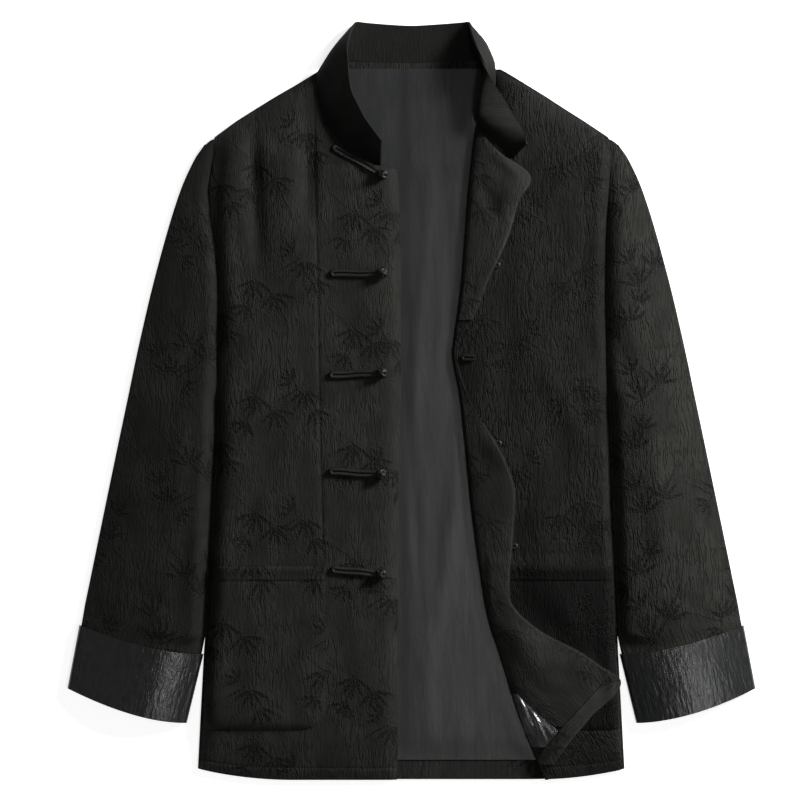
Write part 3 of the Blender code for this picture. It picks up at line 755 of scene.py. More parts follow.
# Cuff satin: filament yarn, woven tight, so it mirrors the lights in one broad streak along the sleeve
CUFF_SATIN = SmoothCloth("black_cuff_satin", "0f1110", "181a19", 0.3, 0.6, (4.0, 15.0), 0.8)
# Lining: thin grey acetate with a fine twill, glossier than the shell
GREY_LINING = SmoothCloth("grey_acetate_lining", "1e1f20", "262627", 0.4, 0.5, (16.0, 70.0), 0.5, 1.1, 0.04)
# Lining of the turned-back skirt: the same acetate, loose, so it falls into ripples; its colours are lighter than
# the back lining's, a painted light for the highlights on the ripples
SLACK_LINING_PAINTED_LIGHT = SmoothCloth("slack_acetate_lining_painted_light", "2a2b2c", "434345", 0.25, 0.75, (7.0, 24.0), 1.7, 1.1, 0.04)
# Frog cord: bias strip of the satin rolled over a core, its folds running round it
FROG_SATIN = SmoothCloth("rolled_bias_cord", "10100f", "1e1e1d", 0.5, 0.28, (2.4, 1.6), 0.25, 1.6, 0.12)
# Thread: twisted black polyester, a little glossier than the cloth it holds
THREAD = SmoothCloth("black_sewing_thread", "111111", "2b2b29", 0.55, 0.4, (0.6, 0.6), 0.05)


def dress(piece: Piece, finish: Finish, slot: Slot, *nodes: str) -> None:
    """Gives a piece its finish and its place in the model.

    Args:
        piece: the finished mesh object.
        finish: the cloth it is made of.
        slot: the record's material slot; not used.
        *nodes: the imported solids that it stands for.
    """
    piece.data.materials.clear()
    piece.data.materials.append(finish.material())
    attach(piece, "root")
    if nodes:
        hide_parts(*nodes)
    log.info("%s: %d faces", piece.name, len(piece.data.polygons))


def lay_sheet(
    grid: ClothGrid,
    node: str,
    wall: float,
    finish: Finish,
    slot: Slot,
    shift: Place = (0.0, 0.0),
) -> Piece:
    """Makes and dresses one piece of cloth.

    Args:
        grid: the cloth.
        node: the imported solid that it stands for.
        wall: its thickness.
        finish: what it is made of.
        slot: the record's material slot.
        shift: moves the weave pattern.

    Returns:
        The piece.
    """
    piece = grid.piece(f"{node}_cloth", wall, shift)
    dress(piece, finish, slot, node)
    return piece


# ---------------------------------------------------------------- the jacket's lines and heights


@dataclass(frozen=True)
class Pattern:
    """Edges and heights that the jacket's pieces share."""

    wall: float = 2.2
    under_z: float = 1.1
    edge_z: float = 4.6
    gap: float = 0.3
    seam: float = 0.9
    armhole_gap: float = -0.3
    armpit_y: float = 5.0
    hem_y: float = -386.0
    hem_stitch: float = 12.0
    hem_curve_from: float = -330.0
    hem_flat_half: float = 120.0
    hem_curve_width: float = 97.0
    hem_curve_lift: float = 0.2
    top_row: float = 337.0
    side_wrap: float = 45.0
    wrap_from: float = 30.0
    wrap_full: float = 110.0
    wrap_columns: int = 12
    fold_steps: int = 8
    shoulder: Profile = Profile(
        ((0, 343), (88, 338), (97.5, 333), (117, 321), (138, 309), (159, 296), (178, 284), (201, 267), (210, 256))
    )
    right_side: Profile = Profile(
        (
            (338, -91), (333, -97.5), (321, -117), (309, -138), (296, -159), (284, -178), (267, -201), (250, -202.5),
            (214, -208), (188, -206), (158, -200.5), (128, -197.6), (98, -197), (38, -198.5), (-35, -198.7),
            (-112, -203), (-190, -206.5), (-258, -211.5), (-330, -215.3), (-386, -217.5),
        ),
        smooth=False,
    )  # fmt: skip
    left_side: Profile = Profile(
        (
            (338, 88), (333, 97.5), (321, 117), (309, 136.5), (296, 156.5), (284, 175.5), (267, 201), (250, 203),
            (214, 201), (188, 199), (158, 197.7), (98, 197.4), (38, 198.4), (-35, 201.4), (-112, 204.5),
            (-190, 208), (-258, 210.5), (-330, 214.5), (-386, 217),
        ),
        smooth=False,
    )  # fmt: skip
    right_edge: Profile = Profile(
        (
            (338, -88), (327, -94), (306, -92), (286, -87), (271, -77), (258, -66), (251, -54), (244, -43),
            (238, -30), (235, -16.5), (200, -13.5), (150, -11.7), (0, -11.7), (-60, -14), (-386, -15),
        )
    )  # fmt: skip
    left_fold: Profile = Profile(
        (
            (338, 85.5), (327, 87.5), (315, 86.5), (301, 81), (288, 73), (279, 66.5), (255, 62.7), (194, 56.6),
            (125, 51.5), (76, 45.4), (46, 41.7), (29, 44.4), (15, 47.4), (-46, 54.6), (-108, 60.7), (-169, 68.9),
            (-218, 77), (-267, 92.3), (-316, 107.6), (-363, 126), (-386, 135.8),
        )
    )  # fmt: skip
    left_free: Profile = Profile(
        (
            (279, 66.5), (267, 75.5), (252, 88.8), (243, 101), (238, 110), (226, 120.5), (222, 120.5),
            (204, 109.7), (173, 100.5), (150, 91.5), (126, 80), (86, 64.8), (62, 49), (46, 46.6), (24, 50.6),
            (6, 56.6), (-19, 70.9), (-63, 95.4), (-96, 105.1), (-142, 102.5), (-183, 99.5), (-200, 99.7),
            (-215, 107.5), (-225, 118), (-238, 136.2), (-256, 171.9), (-270, 192.3), (-281, 209.5), (-286, 212),
            (-322, 180), (-362, 150), (-386, 137.8),
        )
    )  # fmt: skip
    lining_edge: Profile = Profile(((-292, 101.5), (-302, 112.3), (-315, 125.4), (-334, 148.4)), smooth=False)
    hem_fold: Profile = Profile(((-277, 202), (-298, 182.6), (-334, 150), (-362, 128.5)), smooth=False)

    @property
    def hem_line(self) -> float:
        """Height on the table of the hem's stitched line."""
        return self.hem_y + self.hem_stitch

    def bend(self, x: Array, y: Array) -> Array:
        """The real y of a row's point, as the rows bend up towards the sides with the hem.

        Args:
            x: across the table.
            y: the row's height on the table.

        Returns:
            The bent y.
        """
        share = np.maximum(np.abs(x) - self.hem_flat_half, 0.0) / self.hem_curve_width
        below = np.minimum(y - self.hem_curve_from, 0.0)
        return y - below * self.hem_curve_lift * share**2

    def shoulder_y(self, x: Array) -> Array:
        """Height on the table of the shoulder line above each x."""
        return self.shoulder.at(np.abs(x))

    def wrapped(self, y: Array) -> Array:
        """How far a front reaches round underneath at each row."""
        return self.side_wrap * ramp(y, self.armpit_y - self.wrap_from, self.armpit_y - self.wrap_full)

    def side_run(self, y: Array, side: Array, inward: float) -> tuple[Array, Array]:
        """The wall from its seam underneath, round the side fold, to the top.

        Args:
            y: the rows.
            side: x of the side at each row.
            inward: +1 at the right side and -1 at the left.

        Returns:
            x and z of each row's points.
        """
        closed = np.maximum(ramp(y, self.armpit_y + 8, self.armpit_y - self.wrap_from), 0.05)[:, None]
        flat = 0.4 + self.wrapped(y)[:, None]
        radius = (self.edge_z - self.under_z) / 2
        start = math.pi / 2 - math.pi * closed
        middle = (self.under_z + self.edge_z) / 2
        reach = (radius + self.wall / 2) * np.sin(np.minimum(math.pi * closed, math.pi / 2))
        centre = side[:, None] + inward * (self.armhole_gap / 2 + reach)
        back = flat * (1.0 - np.arange(self.wrap_columns) / self.wrap_columns)[None, :]
        wrap_x = centre - inward * (radius * np.cos(start) - back * np.sin(-start))
        wrap_z = middle + radius * np.sin(start) - back * np.cos(start)
        angle = start + (math.pi / 2 - start) * (np.arange(self.fold_steps + 1) / self.fold_steps)[None, :]
        arc_x = centre - inward * radius * np.cos(angle)
        arc_z = middle + radius * np.sin(angle)
        return np.concatenate([wrap_x, arc_x], axis=1), np.concatenate([wrap_z, arc_z], axis=1)


PATTERN = Pattern()


@dataclass(frozen=True)
class FrontHeight:
    """Height of the middle of a front's upper layer: low at its edges, and full past a reach from each."""

    side: Profile
    inner: Profile
    creases: tuple[Crease, ...]
    side_reach: float = 20.0
    inner_reach: float = 5.0
    neck_reach: float = 14.0
    neck_rows: Place = (232.0, 252.0)
    hem_reach: float = 24.0
    shoulder_reach: float = 14.0
    pucker_pitch: float = 13.0
    slack_pitch: float = 21.0
    crown: float = 14.5
    seed: float = 0.0

    def at(self, x: Array, y: Array) -> Array:
        """z of the cloth's middle, low at the front's edges and full between them.

        Args:
            x: across the table.
            y: along the table.

        Returns:
            The height at each point.
        """
        side, inner = self.side.at(y), self.inner.at(y)
        from_side, from_inner = np.abs(side - x), np.abs(x - inner)
        inner_reach = self.inner_reach + (self.neck_reach - self.inner_reach) * ramp(y, *self.neck_rows)
        share = rounded(from_side, self.side_reach) * rise(from_inner, inner_reach)
        share = share * rise(y - PATTERN.hem_y, self.hem_reach)
        share = share * rise(PATTERN.shoulder_y(x) - y, self.shoulder_reach)
        near_side = np.exp(-from_side / 9.0) * ramp(from_side, 0.5, 4.0)
        puckers = 0.35 * ripple(x, y, self.pucker_pitch, self.seed) * near_side
        slack = 0.5 * ripple(0.4 * x, 0.22 * y, self.slack_pitch, 1.0 + self.seed)
        full = self.crown - PATTERN.edge_z + slack + creased(self.creases, x, y)
        return PATTERN.edge_z + full * share + puckers


def grooves(distance: Array, depth: float = 0.7, width: float = 1.0) -> Array:
    """A stitched line's narrow valley at a distance from it."""
    return -depth * np.exp(-((distance / width) ** 2))


RIGHT_HEIGHT = FrontHeight(
    PATTERN.right_side,
    PATTERN.right_edge,
    (
        Crease(-197, 212, 87, 150, 9, -5.5, 2),
        Crease(-157, 216, 92, 220, 10, -6.5, 3),
        Crease(-103, 236, 91, 140, 8, -4.6, 2),
        Crease(-128, 205, 88, 190, 13, 2.2, -3),
        Crease(-172, 150, 96, 150, 9, -1.6, 4),
        Crease(-120, 120, 84, 210, 20, 1.4, -8),
        Crease(-60, 60, 95, 260, 18, -1.0, 5),
        Crease(-165, -10, 62, 120, 10, 1.8, -5),
        Crease(-185, 35, 70, 90, 8, -1.8, 3),
        Crease(-150, -95, 78, 170, 14, -1.4, 7),
        Crease(-110, -240, 60, 150, 12, 1.9, -8),
        Crease(-170, -270, 74, 120, 11, -1.3, 4),
        Crease(-50, -250, 88, 200, 16, 1.2, 4),
        Crease(-130, 262, 150, 70, 9, -1.4, 2),
    ),
)
LEFT_HEIGHT = FrontHeight(
    PATTERN.left_side,
    PATTERN.left_fold,
    (
        Crease(150, 230, 64, 120, 12, 2.0, -5),
        Crease(172, 160, 84, 150, 9, -1.7, -4),
        Crease(125, 90, 98, 220, 19, 1.4, 7),
        Crease(160, -5, 116, 130, 11, 1.9, 5),
        Crease(184, 40, 106, 90, 8, -1.7, -3),
        Crease(150, -90, 100, 180, 14, -1.3, -6),
        Crease(165, -225, 112, 120, 12, 1.6, 6),
        Crease(188, -280, 96, 110, 8, -1.4, -3),
        Crease(130, 265, 34, 70, 9, -1.3, -2),
        Crease(106, -150, 92, 170, 20, -5.5, 3),
        Crease(150, -236, -32, 150, 19, -5.5, -5),
        Crease(92, 40, 80, 250, 22, -3.0, -6),
    ),
    side_reach=11.0,
    inner_reach=30.0,
    seed=2.6,
)


# ---------------------------------------------------------------- frogs


@dataclass(frozen=True)
class Frog:
    """A frog's place: where its two strands bend at the tail, and the middle of its knot."""

    number: int
    tail: Place
    knot: Place


@dataclass(frozen=True)
class Loop:
    """A loop's place on the left front: its height on the table, and the x where it bends and where it ends."""

    number: int
    y: float
    tip: float
    root: float


def strands(bend_at: Place, ends_at: Place, half: float, sway: float) -> Array:
    """A cord's two strands side by side on the table.

    Args:
        bend_at: where the cord turns back.
        ends_at: where both ends are.
        half: half the distance between the strands' middles.
        sway: how far the strands wander sideways.

    Returns:
        Points of (x, y) along the cord.
    """
    start, end = np.array(bend_at, float), np.array(ends_at, float)
    length = float(np.linalg.norm(end - start))
    along = (end - start) / length
    aside = np.array([-along[1], along[0]])
    out = np.linspace(length, 0.0, 15, endpoint=False)
    turn = np.linspace(0.0, math.pi, 9)
    close = 1.0 - 0.35 * ramp(out, length * 0.72, length)
    drift = sway * np.sin(out / length * 2.6 * math.pi)
    upper = start + out[:, None] * along + (half * close + drift)[:, None] * aside
    bend = start - (half * np.sin(turn))[:, None] * along + (half * np.cos(turn))[:, None] * aside
    lower = start + out[::-1][:, None] * along - (half * close - drift)[::-1][:, None] * aside
    return np.concatenate([upper, bend, lower])


@dataclass(frozen=True)
class Frogs:
    """The five knotted closures: cords and ball knots on the right front, loops on the left."""

    cord_radius: float = 2.0
    pitch: float = 4.1
    knot_core: float = 3.9
    knot_cord: float = 1.9
    knot_lift: float = 1.3
    loop_radius: float = 1.75
    frogs: tuple[Frog, ...] = (
        Frog(1, (-77, 256), (-29, 229)),
        Frog(2, (-79, 129), (-29.5, 129)),
        Frog(3, (-80, 26), (-29.5, 28)),
        Frog(4, (-80, -72), (-30.5, -75)),
        Frog(5, (-78, -171.5), (-30.5, -176)),
    )
    loops: tuple[Loop, ...] = (
        Loop(1, 216.0, 108.0, 94.0),
        Loop(2, 137.5, 86.9, 74.5),
        Loop(3, 43.5, 53.6, 65.0),
        Loop(4, -43.5, 88.4, 76.0),
        Loop(5, -148.0, 104.9, 92.5),
    )

    @staticmethod
    def on(height: FrontHeight, places: Array, radius: float) -> Array:
        """Lays a cord's places on a front.

        Args:
            height: the front's height.
            places: (x, y) along the cord.
            radius: the cord's radius.

        Returns:
            (x, y, z) along the cord's middle.
        """
        z = height.at(places[:, 0], places[:, 1]) + PATTERN.wall / 2 + radius
        return np.column_stack([places, z])

    def knot(self, middle: Array, turn: float) -> list[Mesh]:
        """A ball knot: one cord plaited round a sphere, over a small core.

        Args:
            middle: the knot's middle.
            turn: turns the knot about its stem, in radians.

        Returns:
            The parts of its mesh.
        """
        t = np.linspace(0.0, 2.0 * math.pi, 97)[:-1]
        latitude = 0.98 * np.sin(4.0 * t)
        longitude = 3.0 * t + turn
        reach = self.knot_core + 0.45 * np.sin(8.0 * t + 0.6)
        ring = np.cos(latitude)
        plait = np.column_stack([np.sin(latitude), ring * np.cos(longitude), ring * np.sin(longitude)])
        ends = np.linspace(-1.0, 1.0, 7)
        core = middle + np.column_stack([ends * self.knot_core * 0.86, np.zeros(7), np.zeros(7)])
        radii = self.knot_core * np.sqrt(np.maximum(1.0 - (ends * 0.94) ** 2, 0.05)) * 0.98
        return [tube(middle + plait * reach[:, None], self.knot_cord, 8, close=True), tube(core, radii, 12)]

    @staticmethod
    def make(name: str, node: str, parts: Sequence[Mesh]) -> None:
        """Makes and dresses one cord, knot or loop."""
        dress(joined(name, parts), FROG_SATIN, Slot.CORD, node)

    def build(self) -> None:
        """Makes and dresses every frog, knot and loop."""
        half = self.pitch / 2
        for frog in self.frogs:
            tail, knot = np.array(frog.tail, float), np.array(frog.knot, float)
            toward = (knot - tail) / np.linalg.norm(knot - tail)
            ends = knot - toward * (self.knot_core * 0.9)
            places = strands(frog.tail, (float(ends[0]), float(ends[1])), half, 0.35 * (-1) ** frog.number)
            path = self.on(RIGHT_HEIGHT, places, self.cord_radius)
            path[:, 2] += self.knot_lift * ramp(np.linalg.norm(places - knot, axis=1), 12.0, 3.0)
            cord = f"frog_cord_{frog.number}"
            self.make(f"{cord}_rolled", cord, [tube(path, self.cord_radius, 12)])
            z = float(RIGHT_HEIGHT.at(knot[0], knot[1])) + PATTERN.wall / 2 + self.knot_core + self.knot_cord
            ball = f"frog_knot_{frog.number}"
            self.make(f"{ball}_plaited", ball, self.knot(np.array([*knot, z]), 0.7 * frog.number))
        for loop in self.loops:
            places = strands((loop.tip, loop.y), (loop.root, loop.y), self.loop_radius + 0.15, 0.2)
            path = self.on(LEFT_HEIGHT, places, self.loop_radius)
            cord = f"frog_loop_{loop.number}"
            self.make(f"{cord}_rolled", cord, [tube(path, self.loop_radius, 12)])


FROGS = Frogs()


# ---------------------------------------------------------------- panels


@dataclass(frozen=True)
class BackPanel:
    """The back, flat on the table, with the lining that the open fronts show."""

    wall: float = 2.0
    neck_y: float = 347.0
    neck_half: float = 76.0
    neck_from: float = 334.0
    neck_full: float = 341.0
    lining_wall: float = 0.8
    lining_z: float = 2.75
    lining_bottom: float = -366.0
    lining_full: float = -340.0
    lining_top: float = 338.0
    lining_rise: Place = (-14.0, 2.0)
    lining_right: Profile = Profile(((-366, 150), (-240, 110), (250, 100), (338, 70)), smooth=False)
    lining_left: Profile = Profile(((-366, -60), (220, -60), (240, -70), (338, -70)), smooth=False)
    folds: tuple[Crease, ...] = (
        Crease(14, 90, 86, 420, 7, 0.55, 6),
        Crease(30, 200, 97, 240, 9, -0.5, -4),
        Crease(4, -60, 93, 360, 6, -0.45, 5),
        Crease(36, -120, 83, 300, 9, 0.6, -6),
        Crease(18, -280, 91, 200, 8, 0.5, 3),
        Crease(70, -330, 75, 120, 8, -0.4, 3),
    )

    def inset(self, y: Array) -> Array:
        """How far inside the side the back ends, where the front wraps round to meet it."""
        fold = (PATTERN.edge_z - PATTERN.under_z) / 2 + PATTERN.wall / 2 + 0.25
        return PATTERN.seam / 2 + fold * ramp(y, PATTERN.armpit_y + 26, PATTERN.armpit_y + 9) + PATTERN.wrapped(y)

    def build(self) -> None:
        """Makes and dresses the back and its lining."""
        y = spread(PATTERN.hem_y, self.neck_y, 6.0)
        left = PATTERN.right_side.at(y) + self.inset(y)
        right = PATTERN.left_side.at(y) - self.inset(y)
        above = ramp(y, self.neck_from, self.neck_full)
        left += np.maximum(-self.neck_half - left, 0.0) * above
        right -= np.maximum(right - self.neck_half, 0.0) * above
        shares = np.linspace(0.0, 1.0, 61)
        x = between(left, right, shares)
        grid = ClothGrid.across_rows(x, PATTERN.bend(x, rows_over(y, x)), np.full_like(x, self.wall / 2))
        grid.cut[..., 0] = x
        lay_sheet(grid, "back", self.wall, CREPE, Slot.CREPE, (400, 30))
        y = spread(self.lining_bottom, self.lining_top, 4.0)
        x = between(self.lining_left.at(y), self.lining_right.at(y), shares)
        rows = rows_over(y, x)
        fold = PATTERN.left_fold.at(rows)
        clear = ramp(x, *self.lining_rise) * ramp(x, fold + 2, fold - 14)
        lift = clear * (1.0 + creased(self.folds, x, rows))
        z = self.lining_z + lift * ramp(rows, self.lining_bottom, self.lining_full)
        grid = ClothGrid.across_rows(x, rows, z)
        lay_sheet(grid, "back_lining", self.lining_wall, GREY_LINING, Slot.LINING)


@dataclass(frozen=True)
class RightFront:
    """The right front with its straight front edge, seam line and stitched hem.

    seam_ends are the rows in which the pressed seam fades out, edge_columns how far inside the front edge the
    last columns lie, and grain_x the straight line of the weave.
    """

    seam_line: Profile = Profile(((300, -99), (255, -98), (0, -93.5), (-165, -90), (-386, -89)))
    seam_half: float = 1.3
    seam_ends: Place = (-170.0, -150.0)
    edge_columns: tuple[float, ...] = (5.0, 3.6, 2.2, 0.0)
    grain_x: float = -100.0
    step: float = 3.0

    def build(self) -> None:
        """Makes and dresses the front."""
        y = spread(PATTERN.hem_y, PATTERN.top_row, self.step, [PATTERN.hem_line])
        side_x, side_z = PATTERN.side_run(y, PATTERN.right_side.at(y), 1.0)
        first, last = side_x[:, -1:], PATTERN.right_edge.at(y)[:, None]
        seam = np.clip(self.seam_line.at(y)[:, None], first + 3, last - 3)
        lines = [first, seam - self.seam_half, seam, seam + self.seam_half]
        lines += [last - inward for inward in self.edge_columns]
        lines = [np.maximum(np.minimum(line, last), first) for line in lines]
        counts = [36, 1, 1, 24, 1, 1, 1]
        columns = [
            start + (end - start) * np.arange(1, count + 1)[None, :] / count
            for start, end, count in zip(lines, lines[1:], counts)
        ]
        top_x = np.concatenate(columns, axis=1)
        rows = rows_over(y, top_x)
        top_z = RIGHT_HEIGHT.at(top_x, rows) + grooves(rows - PATTERN.hem_line)
        top_z += grooves(top_x - seam) * ramp(rows, *self.seam_ends)
        x = np.concatenate([side_x, top_x], axis=1)
        z = np.concatenate([side_z, top_z], axis=1)
        rows = rows_over(y, x)
        grid = ClothGrid.across_rows(x, PATTERN.bend(x, rows), z, (self.grain_x, slice(side_x.shape[1], None)))
        grid.cut[..., 1] = rows
        lay_sheet(grid, "right_front", PATTERN.wall, CREPE, Slot.CREPE)


@dataclass(frozen=True)
class LeftFront:
    """The left front, folded back on itself as a lapel above and a skirt flap below.

    The turned-back layer lies a stack above the front, and higher over the pocket and the loops. lip is how far
    a facing reaches down round the fold, and grain_x the straight line of the weave.
    """

    roll_radius: float = 1.9
    roll_top: float = 284.0
    roll_opens: float = 11.0
    stack: float = 2.6
    stack_gap: float = 0.4
    pocket_lift: float = 2.1
    loop_lift: float = 2.0
    facing_wall: float = 1.0
    facing_lift: float = 2.25
    edge_roll: float = 1.3
    edge_width: float = 2.2
    pocket_rows: Place = (-152.0, -167.0)
    pocket_side: Place = (72.0, 82.0)
    flutter_pitch: float = 62.0
    lining_from: float = -292.0
    lip: float = 1.85
    grain_x: float = 110.0
    step: float = 3.0
    flap_creases: tuple[Crease, ...] = (
        Crease(116, -262, -52, 120, 17, 2.4, 4),
        Crease(88, -230, -62, 150, 13, -1.8, -5),
        Crease(58, -95, 100, 130, 10, 1.2, 3),
        Crease(92, 243, -43, 74, 6, 2.6, 2),
        Crease(79, 196, -64, 90, 7, -2.4, 3),
        Crease(98, 205, 66, 80, 9, 1.8, -4),
        Crease(84, 150, 78, 90, 9, -1.6, 4),
    )
    lining_creases: tuple[Crease, ...] = (
        Crease(112, -309, -58, 30, 1.9, 1.5, 1.0),
        Crease(118, -319, -64, 50, 2.0, 1.9, -1.6),
        Crease(125, -324, -56, 46, 1.9, 1.7, 1.8),
        Crease(131, -333, -66, 42, 2.0, 2.0, -1.2),
        Crease(138, -336, -54, 30, 1.9, 1.6, 1.4),
    )

    def roll(self, y: Array, steps: int, beyond: int) -> tuple[Array, Array, Array]:
        """The fold and what is turned back beyond it.

        Args:
            y: the rows.
            steps: steps round the fold.
            beyond: columns beyond it.

        Returns:
            x of the fold's start, and x and z of each row's points after it.
        """
        edge, free = PATTERN.left_fold.at(y), PATTERN.left_free.at(y)
        radius = self.roll_radius
        turn = math.pi * np.clip((self.roll_top - y) / self.roll_opens, 0.08, 1.0)[:, None]
        centre = edge[:, None] + (radius + PATTERN.wall / 2) * np.sin(np.minimum(turn, math.pi / 2))
        angle = turn * (np.arange(1, steps + 1) / steps)[None, :]
        roll_x = centre - radius * np.sin(angle)
        roll_z = PATTERN.edge_z + radius * (1 - np.cos(angle))
        full = turn[:, 0] >= math.pi - 1e-9
        flat = np.where(full, np.maximum(free - centre[:, 0], 0.6), 0.6)[:, None]
        along = flat * (np.arange(1, beyond + 1) / beyond)[None, :]
        x0, z0 = roll_x[:, -1:], roll_z[:, -1:]
        turned_x = np.where(full[:, None], x0 + along, x0 - along * np.cos(turn))
        turned_z = np.where(full[:, None], self.turned(turned_x, y[:, None]), z0 + along * np.sin(turn))
        x, z = np.concatenate([roll_x, turned_x], axis=1), np.concatenate([roll_z, turned_z], axis=1)
        return centre, x, z

    def turned(self, x: Array, y: Array) -> Array:
        """Height of the middle of the turned-back layer.

        Args:
            x: across the table.
            y: along the table.

        Returns:
            z, above the front, its pocket and the loops under the layer.
        """
        x0 = PATTERN.left_fold.at(y) + self.roll_radius + PATTERN.wall / 2
        z0 = PATTERN.edge_z + 2 * self.roll_radius
        fade = np.exp(-np.maximum(x - x0, 0.0) / 7.0)
        return self._resting(x, y) + (z0 - self._resting(x0 + 0.0 * x, y)) * fade

    def _resting(self, x: Array, y: Array) -> Array:
        """Height of the turned layer away from the fold."""
        fold, free = PATTERN.left_fold.at(y), PATTERN.left_free.at(y)
        pocket = self.pocket_lift * ramp(y, *self.pocket_rows) * ramp(x, *self.pocket_side)
        loops = np.zeros(np.broadcast(x, y).shape)
        for loop in FROGS.loops:
            if loop.root < loop.tip:
                near = np.exp(-(((y - loop.y) / 19.0) ** 2))
                loops = np.maximum(loops, self.loop_lift * near * ramp(x, loop.root - 30.0, loop.root + 6.0))
        width = np.maximum(free - fold, 1.0)
        wide = ramp(width, 12.0, 40.0)
        outward = ramp((x - fold) / width, 0.35, 1.0) * wide
        flutter = (3.2 + 1.6 * ripple(0.2 * x, 0.9 * y, self.flutter_pitch, 0.8)) * outward
        middle = np.sin(math.pi * np.clip((x - fold) / width, 0, 1)) * ramp(width, 20, 60)
        swell = (1.2 + np.maximum(creased(self.flap_creases, x, y), -1.6)) * middle
        near_edge = np.clip(1.0 - (free - x) / self.edge_width, 0.0, 1.0) ** 2 * wide
        base = LEFT_HEIGHT.at(x, y) + self.stack + self.stack_gap
        return base + pocket + loops + flutter + swell - self.edge_roll * near_edge

    def build(self) -> None:
        """Makes and dresses the front and what shows on its turned-back side."""
        y = spread(PATTERN.hem_y, PATTERN.top_row, self.step, [PATTERN.hem_line])
        side_x, side_z = PATTERN.side_run(y, PATTERN.left_side.at(y), -1.0)
        start, roll_x, roll_z = self.roll(y, 8, 34)
        first = side_x[:, -1:]
        top_x = first + (np.minimum(start, first) - first) * (np.arange(1, 53) / 52)[None, :]
        rows = rows_over(y, top_x)
        top_z = LEFT_HEIGHT.at(top_x, rows) + grooves(rows - PATTERN.hem_line)
        x = np.concatenate([side_x, top_x, roll_x], axis=1)
        z = np.concatenate([side_z, top_z, roll_z], axis=1)
        rows = rows_over(y, x)
        top = slice(side_x.shape[1], side_x.shape[1] + top_x.shape[1])
        grid = ClothGrid.across_rows(x, PATTERN.bend(x, rows), z, (self.grain_x, top))
        grid.cut[..., 1] = rows
        lay_sheet(grid, "left_front", PATTERN.wall, SLACK_CREPE_PAINTED_SHADE, Slot.CREPE, (610, 45))
        self.build_turned_side()

    def build_turned_side(self) -> None:
        """Makes and dresses the facings, lining and hem that show on the turned-back side."""
        seam = PATTERN.seam / 2

        def from_fold(y: Array) -> Array:
            """Where a piece may start, just past the fold."""
            return PATTERN.left_fold.at(y) + self.roll_radius * 0.6

        def to_edge(y: Array) -> Array:
            """Where a piece ends, just short of the free edge."""
            return PATTERN.left_free.at(y) - 0.7

        def facing_left(y: Array) -> Array:
            """Past the lining's edge below it."""
            past = np.where(y < self.lining_from, PATTERN.lining_edge.at(y) + seam, -1e3)
            return np.maximum(from_fold(y), past)

        def facing_right(y: Array) -> Array:
            """Short of the turned-up hem."""
            return np.minimum(to_edge(y), PATTERN.hem_fold.at(y) - seam)

        def lining_right(y: Array) -> Array:
            """Short of the facing above and the hem below."""
            return np.minimum(PATTERN.lining_edge.at(y), PATTERN.hem_fold.at(y)) - seam

        def hem_left(y: Array) -> Array:
            """Past the lining and the facing."""
            return np.maximum(PATTERN.hem_fold.at(y) + seam, from_fold(y))

        pieces = (
            ("left_facing_upper", (82.0, 267.0), from_fold, to_edge, LAPEL_CREPE_PAINTED_LIGHT, Slot.CREPE, 22),
            ("left_facing_lower", (-330.0, -2.0), facing_left, facing_right, FUSED_CREPE_PAINTED_LIGHT, Slot.CREPE, 32),
            ("left_front_lining", (-352.0, -298.0), from_fold, lining_right, SLACK_LINING_PAINTED_LIGHT, Slot.LINING, 30),
            ("left_hem_turnup", (-370.0, -285.0), hem_left, to_edge, LAPEL_CREPE_PAINTED_LIGHT, Slot.CREPE, 12),
        )
        for node, (bottom, top), left, right, finish, slot, columns in pieces:
            y = spread(bottom, top, 1.5 if finish is SLACK_LINING_PAINTED_LIGHT else 2.5)
            start, end = left(y)[:, None], right(y)[:, None]
            shares = np.append(np.linspace(0.0, 1.0, columns + 1)[:-1], [0.972, 0.987, 1.0])
            x = start + np.maximum(end - start, 0.3) * np.unique(shares)[None, :]
            rows = rows_over(y, x)
            z = self.turned(x, rows) + self.facing_lift
            if finish is SLACK_LINING_PAINTED_LIGHT:
                z += np.maximum(creased(self.lining_creases, x, rows), -0.5) * rise(end - x, 2.0)
            x0 = PATTERN.left_fold.at(rows) + self.roll_radius + PATTERN.wall / 2
            inside = np.maximum(x0 - x, 0.0)
            z -= self.roll_radius - np.sqrt(self.roll_radius**2 - np.minimum(inside, self.lip) ** 2)
            grid = ClothGrid.across_rows(x, PATTERN.bend(x, rows), z)
            lay_sheet(grid, node, self.facing_wall, finish, slot, (350, -90))


LEFT_FRONT = LeftFront()


